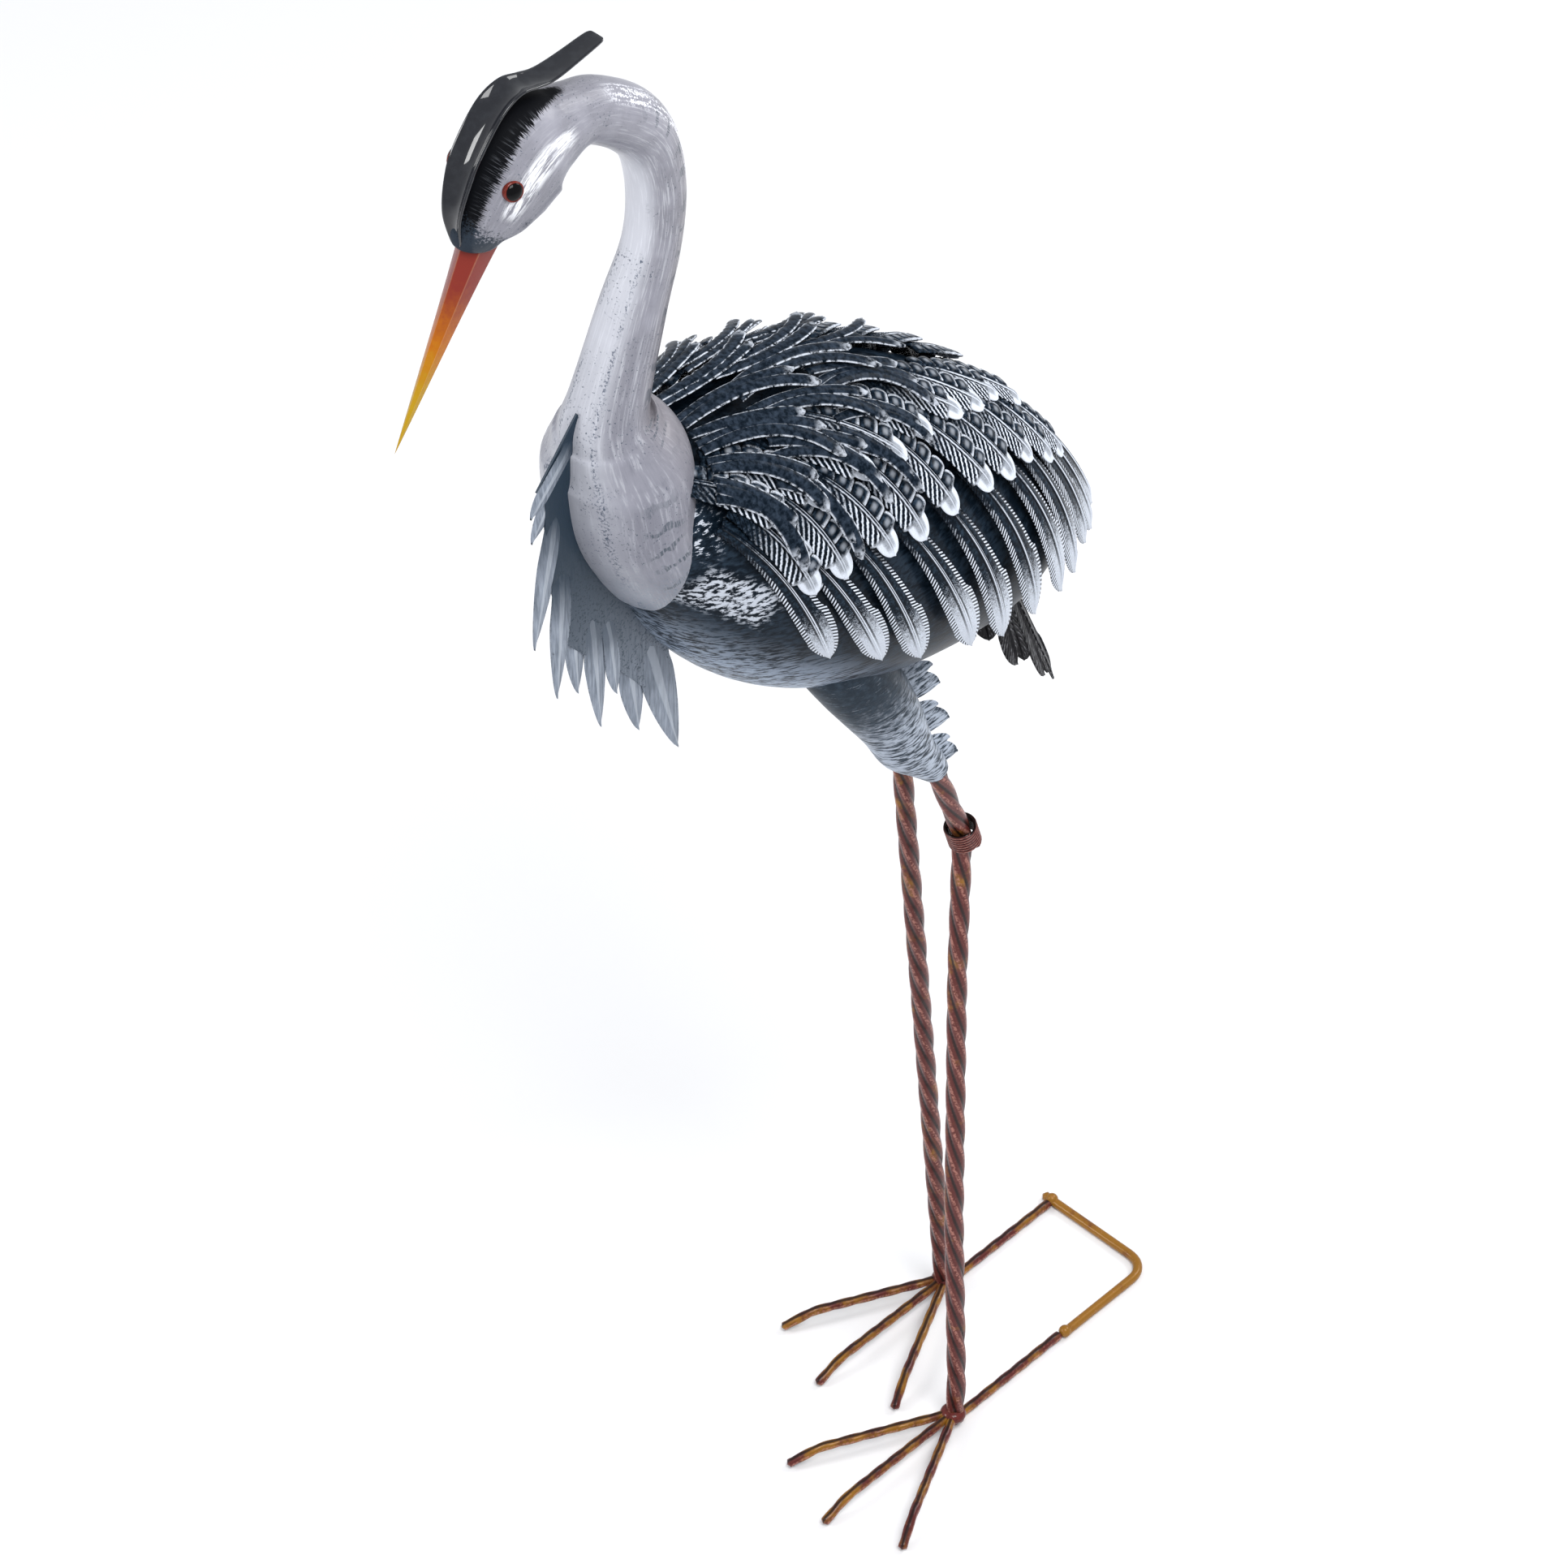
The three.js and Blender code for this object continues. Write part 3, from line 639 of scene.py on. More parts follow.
# Where the tips of a wing row lie: s and the angle up the flank, as u goes from the front to the rear.
def flight_tip(u):
    return 22 + 290 * u - 63 * u**3.5, -35 + 101 * u**1.5


def lower_covert_tip(u):
    return -25 + 200 * u**1.2, -13 + 72 * u**0.85


def upper_covert_tip(u):
    return -53 + 185 * u**1.1, 11 + 62 * u**0.75


def add_feather(bm, root, tip, rise, width, form, grid, tone, mirrored, bow=0):
    frames = {}

    def at(u, w):
        if u not in frames:
            frames[u] = feather_frame(root, tip, rise, u, bow)
        centre, side, out = frames[u]
        x = 2 * w - 1
        wide, height = form(u, x)
        return centre + side * (x * wide * width / 2) + out * height

    add_sheet(bm, *grid, at, tone, mirrored)


def skin_over(bm, node, paint, slot, thickness):
    finished(bm, node + ".skin", paint, slot, [node], crease=40, thickness=thickness)


def spread(i, first, second):
    """Two numbers from 0 to 1 for the i-th feather of a row, without a visible pattern."""
    return (i * 0.618 + first) % 1, (i * 0.414 + second) % 1


def covert_paint(colours):
    """Slate, silver brushed over the shaft, the barbs' edges, the lobes' lower rims and the tip, with painted
    highlights and painted shade.
    """
    paint = Finish("covert_paint", colours.slate)
    across, along = paint.chart()
    scatter = paint.noise(0.55, 5)
    fine = paint.noise(2.2, 3)
    x = across * 2 - 1
    away = abs(x)
    front = (x * -1).over(0.1, 0.16)
    rear = x.over(0.12, 0.2)
    reach = along + (scatter - 0.5) * 0.6
    vane = along.under(0.79, 0.84)
    # A painted highlight along the raised shaft.
    highlight = away.near(0.07, 0.012, 0.035) * reach.over(0.15, 0.45) * 0.9
    shaft = away.under(0.08, 0.14) * reach.over(0.6, 0.9) * 0.5
    phase = abs(((along - away * 0.17 + (scatter - 0.5) * 0.03) * (BARBS * pi)).sine())
    bar = phase.over(0.78, 0.96) * front * reach.over(0.2, 0.6) * vane
    lobe = (along * LOBES).fraction()
    edge = lobe.over(0.66, 0.86).most(away.over(0.8, 0.93))
    rim = edge * rear * reach.over(0.2, 0.6) * fine.over(0.3, 0.5) * vane
    # Painted glints on top of the lobes.
    glint = lobe.near(0.35, 0.04, 0.2) * away.near(0.5, 0.05, 0.3) * rear * 0.3
    border = away.over(0.35, 0.6).most(along.over(0.9, 0.97))
    tip = (along + (scatter - 0.5) * 0.1).over(0.78, 0.86) * (0.1 + fine * 0.7 + border * 0.5)
    mask = highlight.most(shaft).most(bar).most(rim * 0.9).most(glint * vane).most(tip).least(1)
    # Painted shade in the grooves between the barbs, in the seams between the lobes and beside the shaft.
    groove_shade = vane * front * phase.under(0.15, 0.5) * 0.95
    seam = vane * rear * lobe.near(0, 0.03, 0.1).most(lobe.over(0.93, 0.97)) * 0.9
    beside_shaft_shade = away.near(0.16, 0.02, 0.06) * vane * 0.8
    paint.layer(scatter.over(0.4, 0.7) * 0.7, (0.035, 0.058, 0.09))
    paint.layer(mask, colours.silver)
    paint.layer(groove_shade.most(seam).most(beside_shaft_shade), (0.002, 0.004, 0.007))
    paint.put("Roughness", 0.24 + mask * 0.2)
    paint.relief(fine * 0.5 + mask * 0.5, 0.25, 0.35)
    return paint.done()


def flight_paint(colours):
    """Slate vanes that turn silver towards the tip, with white ticks along both rims, a painted highlight
    along the shaft and painted shade in the channels and notches.
    """
    paint = Finish("flight_paint", colours.slate)
    across, along = paint.chart()
    tone = paint.node("ShaderNodeAttribute", output="Fac", attribute_name="tone")
    scatter = paint.noise(0.5, 5)
    speck = paint.noise(2.4, 2)
    away = abs(across * 2 - 1)
    rim = (away + (scatter - 0.5) * 0.2).over(0.62, 0.68)
    tick = ((along * 96 - away * 6) * pi).sine()
    reach = along + (scatter - 0.5) * 0.5
    ticks = rim * tick.over(0, 0.4) * reach.over(0.2, 0.45)
    notch_shade = rim * (tick * -1).over(-0.1, 0.3)
    # A painted highlight along the raised shaft.
    shaft = away.near(0.05, 0.012, 0.035) * reach.over(0.1, 0.4)
    tip = (along + (scatter - 0.5) * 0.3 + (speck - 0.5) * 0.45 + (tone - 0.5) * 0.14).over(0.6, 0.86)
    mask = ticks.most(shaft * 0.9).most(tip * (0.45 + speck * 0.7)).least(1)
    groove_shade = away.near(0.14, 0.03, 0.07) * 0.85
    paint.layer(scatter.over(0.4, 0.7) * 0.7, (0.03, 0.052, 0.08))
    paint.layer(mask, colours.silver)
    # Painted shade in the channel beside the shaft and in the notches between the rim's ticks.
    paint.layer((groove_shade * along.under(0.72, 0.95)).most(notch_shade * 0.85), (0.004, 0.006, 0.01))
    paint.put("Roughness", 0.24 + mask * 0.22)
    paint.relief(tick * rim * 0.5 + speck * 0.3, 0.3, 0.5)
    return paint.done()


def plume_paint(colours):
    """Slate strips with thin white edges."""
    paint = Finish("plume_paint", colours.slate)
    across, along = paint.chart()
    scatter = paint.noise(0.4, 5)
    edge = abs(across * 2 - 1).over(0.7, 0.95) * scatter.over(0.38, 0.58)
    end = along.over(0.9, 0.99) * 0.7
    paint.layer(scatter.over(0.35, 0.7) * 0.8, (0.035, 0.05, 0.075))
    paint.layer(edge.most(end * scatter.over(0.35, 0.6)), colours.silver)
    paint.put("Roughness", 0.2 + scatter * 0.2)
    paint.relief(scatter, 0.4, 0.4)
    return paint.done()


def tail_paint(colours):
    """Bronze with pale ribs on both sides of the shaft."""
    paint = Finish("tail_paint", colours.bronze)
    across, along = paint.chart()
    away = abs(across * 2 - 1)
    tick = ((along * 44 - away * 6) * pi).sine()
    ribs = tick.over(0, 0.8) * away.over(0.12, 0.3)
    paint.layer(ribs * paint.noise(0.35, 4).over(0.45, 0.65) * 0.8, (0.22, 0.22, 0.24))
    paint.relief(tick * away, 0.4, 0.7)
    return paint.done()


def neck_paint(colours):
    """White with brushed streaks, a black crown stripe with a hairy edge and a dark face."""
    paint = Finish("neck_paint", colours.white, coat_roughness=0.12, gloss=0.08)
    chart = paint.uv()
    across, along = paint.split(chart)[:2]
    blotch = paint.noise(0.035, 4)
    speck = paint.noise(0.9, 4)
    streak = paint.noise(1, 5, (70, 22, 1), chart)
    fine = paint.noise(1, 4, (180, 40, 1), chart)
    hair = paint.noise(1, 3, (14, 900, 1), chart)
    from_crown = abs(across - 0.5)

    # Shades of the white: blotches, pale and dark streaks, the nape, the throat and the foot of the neck.
    paint.layer(blotch.over(0.35, 0.65) * 0.7, (0.2, 0.2, 0.23))
    below = 1 - along.over(0.52, 0.66) * 0.7
    paint.layer(below * streak.over(0.46, 0.62) * fine.over(0.4, 0.6) * 0.6, (0.6, 0.61, 0.66))
    paint.layer(below * streak.under(0.3, 0.46) * fine.over(0.4, 0.55) * 0.5, (0.16, 0.165, 0.2))
    paint.layer(from_crown.under(0.12, 0.3) * along.under(0.35, 0.6) * 0.65, (0.22, 0.195, 0.195))
    paint.layer(from_crown.over(0.34, 0.44) * along.under(0.5, 0.6) * 0.6, (0.7, 0.72, 0.78))
    paint.layer(along.under(0.06, 0.5) * (0.25 + blotch * 0.7), (0.19, 0.195, 0.24))

    # Rows of dark dashes low on the sides and high at the back, white patches and flecks.
    low = from_crown.near(0.29, 0.035, 0.06) * along.under(0.16, 0.24)
    high = from_crown.near(0.17, 0.03, 0.06) * along.near(0.42, 0.14, 0.2)
    dash = (along * 260 + blotch * 16 + from_crown * 12).sine().over(0.55, 0.85)
    paint.layer(dash * low.most(high) * fine.over(0.42, 0.56) * 0.8, (0.04, 0.06, 0.08))
    patches = from_crown.near(0.1, 0.03, 0.07) * along.near(0.56, 0.06, 0.1)
    paint.layer(patches * (streak + speck).over(1, 1.08), (0.85, 0.86, 0.92))
    paint.layer(speck.over(0.61, 0.66) * blotch.over(0.46, 0.56) * 0.8, (0.05, 0.07, 0.1))
    seam = (from_crown + (streak - 0.5) * 0.02).near(0.42, 0.004, 0.016) * speck.over(0.48, 0.58)
    paint.layer(seam * along.under(0.5, 0.6) * blotch.over(0.45, 0.55) * 0.7, (0.03, 0.05, 0.09))
    paint.layer(along.under(0.03, 0.16) * 0.7 * speck.over(0.4, 0.6), (0.2, 0.26, 0.33))
    brushed = from_crown.near(0.2, 0.015, 0.045) * along.near(0.81, 0.05, 0.09)
    paint.layer(brushed * (streak + fine).over(0.85, 1.1), (0.9, 0.91, 0.95))

    # The crown stripe with its pale strands, the smudge behind the beak and the dark face.
    taper = along.under(0.69, 0.82) * 0.09
    stripe = (from_crown + taper + (hair - 0.5) * 0.09).under(0.108, 0.118)
    crown = (along + (hair - 0.5) * 0.04).over(0.7, 0.715) * stripe
    strand = paint.noise(1, 2, (10, 700, 1), chart).over(0.55, 0.62) * from_crown.over(0.05, 0.1)
    paint.layer(crown, colours.black)
    paint.layer(crown * strand * 0.2, (0.3, 0.32, 0.36))
    smudge = from_crown.near(0.3, 0.01, 0.03) * along.near(0.885, 0.004, 0.014)
    paint.layer(smudge * speck.over(0.45, 0.55) * 0.85, (0.03, 0.04, 0.06))
    face = (along + (speck - 0.5) * 0.12 - from_crown * 0.03).over(0.915, 0.945)
    paint.layer(face, (0.025, 0.035, 0.05))
    paint.put("Roughness", 0.22 + streak * 0.2 + crown * 0.35)
    paint.put("Coat Weight", 0.18 * (1 - crown))
    paint.relief(streak * 0.5 + speck * 0.5, 0.35, 0.35)
    return paint.done()


def body_paint(colours):
    """Slate with white sponged on the flank, and a pale streaked belly that is partly a painted reflection of
    the floor.
    """
    paint = Finish("body_paint", colours.slate)
    y, z = paint.split(paint.place())[1:]
    rise = y * sin(LEAN) + z * cos(LEAN)
    run = y * cos(LEAN) - z * sin(LEAN)
    cloud = paint.noise(0.05, 3)
    sponge = paint.noise(0.42, 6, (0.8, 0.5, 1.3))
    streak = paint.noise(0.5, 3, (0.5, 0.12, 1.6))
    heart = run.near(-498, 12, 32).least(rise.near(497, 4, 17))
    sponged = heart.over(0.1, 0.9) * (sponge + heart * 0.12).over(0.56, 0.66)
    drops = rise.near(521, 6, 14) * run.near(-541, 12, 24) * sponge.over(0.56, 0.6)
    # The belly's pale streaks are partly paint and partly a painted reflection of the white floor below.
    belly = rise.under(452, 486) * (streak + cloud * 0.3 - 0.15).over(0.4, 0.56)
    paint.layer((sponge * 0.6 + cloud * 0.4).over(0.42, 0.6) * 0.7, (0.025, 0.042, 0.065))
    paint.layer(belly * 0.9, (0.34, 0.41, 0.52))
    paint.layer(sponged.most(drops) * 0.9, (0.6, 0.64, 0.72))
    paint.put("Roughness", 0.22 + sponge * 0.2)
    paint.relief(sponge * 0.6 + streak * 0.4, 0.4, 0.35)
    return paint.done()


def thigh_paint():
    """Slate above, brushed pale in rings below."""
    ground = (0.012, 0.022, 0.035)
    paint = Finish("thigh_paint", ground, roughness=0.32, coat=0.02, coat_roughness=0.12, gloss=0.04)
    y, z = paint.split(paint.place())[1:]
    scatter = paint.noise(0.25, 5)
    rings = paint.noise(0.5, 4, (0.25, 0.3, 1.3))
    low = (z + (scatter - 0.5) * 90 - y * 0.5).under(500, 572)
    brushed = (low * rings.over(0.38, 0.58)).most(rings.over(0.62, 0.7) * 0.25)
    paint.layer(scatter.over(0.4, 0.7) * 0.5, (0.045, 0.07, 0.1))
    paint.layer(brushed * 0.85, (0.5, 0.56, 0.66))
    paint.relief(rings, 0.4, 0.3)
    return paint.done()


def comb_paint():
    """Dark at the seam and pale grey below, each tooth with a light tapered shaft."""
    ground = (0.02, 0.035, 0.055)
    paint = Finish("comb_paint", ground, roughness=0.35, coat=0.04, coat_roughness=0.12, gloss=0.1)
    across, along = paint.chart()
    z = paint.split(paint.place())[2]
    streak = paint.noise(0.5, 4, (1, 1.6, 0.16))
    away = abs(across * 2 - 1)
    down = along.over(0.05, 0.6).most((z + streak * 60).under(630, 770) * 0.75)
    shaft = (away - (1 - along) * 0.25).under(0.02, 0.1)
    edge = away.over(0.8, 1) * paint.noise(0.8, 4).over(0.55, 0.6)
    paint.layer(down * (streak * 1.5 - 0.1), (0.34, 0.38, 0.45))
    paint.layer(shaft * down * 0.5, (0.5, 0.54, 0.6))
    paint.layer(edge * 0.7, (0.02, 0.035, 0.05))
    paint.relief(streak, 0.3, 0.4)
    return paint.done()


def beak_paint(colours):
    """Red at the root, through orange to yellow at the tip, with painted highlights along its edges."""
    paint = Finish("beak_paint", colours.red, roughness=0.22, coat=0.35, coat_roughness=0.06, gloss=0.1)
    across, along = paint.chart()
    turn = along + (paint.noise(0.3, 4) - 0.5) * 0.2
    corner = abs((across * (BEAK_SIDES * pi)).sine())
    paint.layer(turn.over(0.2, 0.55), colours.orange)
    paint.layer(turn.over(0.45, 0.8), (0.42, 0.25, 0.008))
    # Painted highlights along the beak's edges.
    paint.layer(corner.under(0.03, 0.2) * 0.12, (0.85, 0.55, 0.3))
    return paint.done()


def crest_paint():
    """Glossy black."""
    paint = Finish("crest_paint", (0.008, 0.009, 0.013), roughness=0.25, coat=1, coat_roughness=0.05)
    scatter = paint.noise(0.25, 5)
    paint.layer(scatter.over(0.4, 0.7) * 0.8, (0.015, 0.017, 0.022))
    paint.relief(scatter, 0.2, 0.2)
    return paint.done()


def bar_paint(colours, name, strands, golden):
    """Copper brown with gold brushed on in stretches, painted highlights on the strands' ridges with fainter
    pale patches, and painted shade in the grooves between any strands.
    """
    paint = Finish(name, colours.copper, metallic=0.1, coat=0.12, coat_roughness=0.06, gloss=0.2)
    scatter = paint.noise(0.06, 4)
    fine = paint.noise(0.7, 4)
    wave = abs((paint.chart()[0] * (max(strands, 1) * pi)).sine())
    # Painted highlights along the ridges of the strands, and fainter pale copper patches.
    ridge_highlight_and_patches = (wave.over(0.88, 0.99) * fine.over(0.4, 0.6)).most(fine.over(0.58, 0.7) * 0.4)
    paint.layer((scatter + golden).over(0.55, 0.75), colours.ochre)
    paint.layer(ridge_highlight_and_patches * 0.6, COPPER_HIGHLIGHT)
    if strands:
        # Painted shade in the grooves between the strands.
        paint.layer(wave.under(0.15, 0.6) * 0.9, (0.012, 0.006, 0.006))
    paint.put("Roughness", 0.2 + fine * 0.25)
    paint.relief(fine, 0.2, 0.3)
    return paint.done()


def coil_paint(colours):
    """Copper wire, with painted shade between its turns and a painted highlight along its outer side."""
    # The dark ground is painted shade on the inner sides of the wire, between its turns.
    ground = (0.006, 0.002, 0.002)
    paint = Finish("coil_paint", ground, roughness=0.25, coat=0.3, coat_roughness=0.05, gloss=0.15)
    outer = ((paint.chart()[0] + 0.25) * TURN).sine()
    paint.layer(outer.over(0.3, 0.85), colours.copper)
    # A painted highlight along the outer side of the wire.
    paint.layer(outer.over(0.9, 0.99) * paint.noise(0.5, 3).over(0.35, 0.6) * 0.5, COPPER_HIGHLIGHT)
    return paint.done()


def plain_paint(name, colour, roughness, coat=0.4):
    paint = Finish(name, colour, roughness=roughness, coat=coat, coat_roughness=0.04, gloss=0.08)
    paint.layer(paint.noise(0.6, 3).over(0.4, 0.7), [0.6 * part for part in colour])
    return paint.done()


def add_camera(context, settings):
    data = bpy.data.cameras.new("Camera")
    data.lens = settings.lens
    data.sensor_width = 36
    data.clip_end = 50
    camera = bpy.data.objects.new("Camera", data)
    right = Vector((cos(settings.yaw), sin(settings.yaw), 0))
    level = Vector((-sin(settings.yaw), cos(settings.yaw), 0))
    look = level * cos(settings.pitch) - Z_AXIS * sin(settings.pitch)
    turned = Matrix((right, right.cross(look), -look)).transposed()
    camera.matrix_world = Matrix.Translation(settings.camera) @ turned.to_4x4()
    context.scene.collection.objects.link(camera)
    context.scene.camera = camera


def add_floor(context):
    bm = bmesh.new()
    bmesh.ops.create_grid(bm, x_segments=1, y_segments=1, size=6)
    mesh = bpy.data.meshes.new("floor")
    bm.to_mesh(mesh)
    bm.free()
    mesh.materials.append(Finish("floor_paint", FLOOR_TINT, roughness=0.9, coat=0, gloss=0.5).done())
    floor = bpy.data.objects.new("floor", mesh)
    context.scene.collection.objects.link(floor)


def add_lights(context):
    world = bpy.data.worlds.new("Studio")
    world.use_nodes = True
    sky = world.node_tree.nodes["Background"].inputs
    sky["Color"].default_value = (0.95, 0.97, 1, 1)
    sky["Strength"].default_value = 0.62
    context.scene.world = world
    context.scene.view_settings.view_transform = "Standard"
    for name, spot, size, watts in LIGHTS:
        data = bpy.data.lights.new(name, "AREA")
        data.size = size
        data.energy = watts
        light = bpy.data.objects.new(name, data)
        light.location = spot
        light.rotation_euler = (LIGHTS_AIM - Vector(spot)).to_track_quat("-Z", "Y").to_euler()
        context.scene.collection.objects.link(light)


class HERON_OT_stage(Operator):
    """Sets up the floor, the lights and the camera."""

    bl_idname = "heron.stage"
    bl_label = "Stage"

    def execute(self, context):
        add_camera(context, context.scene.heron_stage)
        add_floor(context)
        add_lights(context)
        return {"FINISHED"}


class HERON_OT_body(Operator):
    """Models the hollow body as one smooth egg."""

    bl_idname = "heron.body"
    bl_label = "Body"

    def execute(self, context):
        sizes = context.scene.heron_body
        paint = body_paint(context.scene.heron_colours)

        def at(u, w):
            s = NAPE_END + (REAR_END - NAPE_END) * (1 - cos(pi * u)) / 2
            front = max(NAPE_END + NAPE_ROUND - s, 0) / NAPE_ROUND
            rear = max(s + REAR_ROUND - REAR_END, 0) / REAR_ROUND
            closing = sqrt(max(1 - front**2 - rear**2, 0))
            share = (s + 120) / 150
            saddle = 9 * sin(pi * share) ** 2 if 0 < share < 1 else 0
            upper = spine_at(s) - 4 - saddle
            lower = -70 + 0.0026 * (s - 45) ** 2
            semi = max(upper - lower, 0) / 2 * closing
            out = (half_width_at(s) - 4) * closing * cos(TURN * w)
            return body_point(out, s, (upper + lower) / 2 + semi * sin(TURN * w))

        rolled("body", sizes.body_rings, sizes.body_sides, at, paint, "slate_paint", ["body_shell"])
        return {"FINISHED"}


class HERON_OT_neck(Operator):
    """Models the neck and head as one formed tube."""

    bl_idname = "heron.neck"
    bl_label = "Neck and head"

    def execute(self, context):
        sizes = context.scene.heron_body
        paint = neck_paint(context.scene.heron_colours)
        centres = [(0, y, z) for y, z, depth, width in NECK_STATIONS]
        rings = {}

        def at(u, w):
            if u not in rings:
                rings[u] = path_frame(centres, u), *along_stations(NECK_STATIONS, u)[2:]
            frame, depth, width = rings[u]
            end = round_end(u, 0.02)
            return oval(frame, w - 0.25, width * end, depth * end)

        rolled("neck", sizes.neck_rings, sizes.neck_sides, at, paint, "pale_paint", ["neck_and_head"])
        return {"FINISHED"}


def add_beak(paint):
    y, z, depth, width = BEAK_BASE
    base = Vector((0, y, z))
    tip = Vector((0, *BEAK_TIP))
    along = (tip - base).normalized()
    frame_sides = X_AXIS, along.cross(X_AXIS)
    base -= along * 2

    def at(u, w):
        corner = (w * BEAK_SIDES) % 1 - 0.5
        flat = cos(pi / BEAK_SIDES) / cos(corner * TURN / BEAK_SIDES)
        taper = (1 - u) ** 0.92 * (1 + 0.15 * (1 - u) ** 3) * min(1, 0.5 + u * 20)
        size = (0.15 + 0.85 * flat) * taper
        return oval((base.lerp(tip, u), *frame_sides), w + 0.25, width * size, depth * size)

    rolled("beak_dagger", 40, 36, at, paint, "orange_paint", ["beak"], crease=28)


def add_crest(paint):
    centres = [(0, y, z) for y, z, width in CREST_STATIONS]

    def at(u, w):
        width = along_stations(CREST_STATIONS, u)[2] * round_end(u, 0.03)
        centre, first, second = path_frame(centres, u)
        x = 2 * w - 1
        sag = (2.6 - 2 * step(u, 0.55, 0.8)) * x * x
        return centre + first * (x * width) + second * (0.6 - sag * width / 7.5)

    rolled("crest", 90, 14, at, paint, "black_paint", ["crest_plume"], crease=35, thickness=1)


def add_turned(name, profile, paint, nodes, mirrored):
    facing = EYE_FACING.to_track_quat("Z", "Y").to_matrix()

    def at(u, w):
        radius, height = along_stations(profile, u)
        return EYE_AT + facing @ oval((Z_AXIS * height, X_AXIS, Y_AXIS), w, radius, radius)

    rolled(name, 12, 32, at, paint, "eye_gloss", nodes, mirrored)


class HERON_OT_head(Operator):
    """Models the beak, the crest and the eyes."""

    bl_idname = "heron.head"
    bl_label = "Beak, crest and eyes"

    def execute(self, context):
        add_beak(beak_paint(context.scene.heron_colours))
        add_crest(crest_paint())
        ring = plain_paint("eye_ring_paint", (0.16, 0.02, 0.012), 0.25)
        bead = plain_paint("eye_bead_paint", (0.001, 0.001, 0.0015), 0.05, coat=0.2)
        for side, mirrored in SIDES:
            add_turned(f"eye_ring_{side}", EYE_RIM, ring, [f"eye_{side}"], mirrored)
            add_turned(f"eye_bead_{side}", EYE_DOME, bead, [], mirrored)
        return {"FINISHED"}


def comb_plate(bm, corners):
    bm.loops.layers.uv.verify()
    bm.verts.layers.float.new("tone")
    face = bm.faces.new([bm.verts.new(place(Vector((-0.5, y, z)))) for y, z in corners])
    extruded = bmesh.ops.extrude_face_region(bm, geom=[face])["geom"]
    moved = [part for part in extruded if isinstance(part, bmesh.types.BMVert)]
    bmesh.ops.translate(bm, verts=moved, vec=X_AXIS * MM)
    bmesh.ops.recalc_face_normals(bm, faces=bm.faces)


def comb_tooth(bm, front, back, tip, index):
    middle = front.lerp(back, 0.5)
    down = (tip - middle).normalized()
    inner = middle - down * TOOTH_ROOT
    aside = X_AXIS.cross(down)
    half = max(abs((back - front).dot(aside)) / 2, 3.6) * 1.15
    start = TOOTH_ROOT / (TOOTH_ROOT + (tip - middle).length)
    offset = (0.9, -0.5, 0.3)[index % 3]

    def at(u, w):
        x = 2 * w - 1
        reach = max(u - start, 0) / (1 - start)
        wide = half * (0.8 + 0.2 * min(u / start, 1)) * (1 - reach**1.5) ** 0.8
        ridge = (0.9 * (1 - abs(x)) + offset) * min(u * 4, 1)
        return inner.lerp(tip, u) + aside * (x * wide) + X_AXIS * ridge

    sheet = add_sheet(bm, 26, 8, at)
    bmesh.ops.solidify(bm, geom=faces_of(sheet), thickness=1.1 * MM)


class HERON_OT_breast(Operator):
    """Models the ragged plume under the neck, tooth by tooth."""

    bl_idname = "heron.breast"
    bl_label = "Breast plume"

    def execute(self, context):
        bm = bmesh.new()
        comb_plate(bm, [*COMB_FRONT, *(notch for tip, notch in COMB_TEETH), *COMB_BACK])
        previous = COMB_FRONT[-1]
        for i, (tip, notch) in enumerate(COMB_TEETH):
            comb_tooth(bm, Vector((0, *previous)), Vector((0, *notch)), Vector((0, *tip)), i)
            previous = notch
        finished(bm, "breast_comb", comb_paint(), "silver_paint", ["breast_plume"], crease=50)
        return {"FINISHED"}


def wing_row(bm, mirrored, count, tip_at, run, width, sweep, easing, low, form, rings):
    """Lays feathers whose roots are swept up from their tips, less so along the row by the easing."""
    for i in range(count):
        u = i / (count - 1)
        s, phi = tip_at(u)
        turn = sweep * (1 - easing * u)
        root = (s - run, phi + turn * cos(phi * DEGREE) * run)
        tone, other = spread(i, run * 0.03, sweep * 3)
        tip = (s + 7 * (tone - 0.5), phi + 3.4 * (other - 0.5))
        wide = width * (0.84 + 0.16 * u)
        add_feather(bm, root, tip, (low, WING_TIP_RISE), wide, form, (rings, 14), tone, mirrored)


class HERON_OT_wings(Operator):
    """Models three rows of feathers on each side."""

    bl_idname = "heron.wings"
    bl_label = "Wings"

    def execute(self, context):
        sizes = context.scene.heron_feathers
        covert = covert_paint(context.scene.heron_colours)
        flight = flight_paint(context.scene.heron_colours)
        coverts = sizes.covert_run, sizes.covert_width, 0.6, 0, -1, covert_form, 84
        flights = sizes.flight_run, sizes.flight_width, 0.46, 0.36, -2.6, flight_form, 60
        rows = (
            ("wing_flight_feathers", flight, flights, 11, flight_tip),
            ("wing_lower_coverts", covert, coverts, 10, lower_covert_tip),
            ("wing_upper_coverts", covert, coverts, 9, upper_covert_tip),
        )
        for name, paint, kind, count, tip_at in rows:
            for side, mirrored in SIDES:
                bm = bmesh.new()
                wing_row(bm, mirrored, count, tip_at, *kind)
                skin_over(bm, f"{name}_{side}", paint, "slate_paint", sizes.thickness)
        return {"FINISHED"}


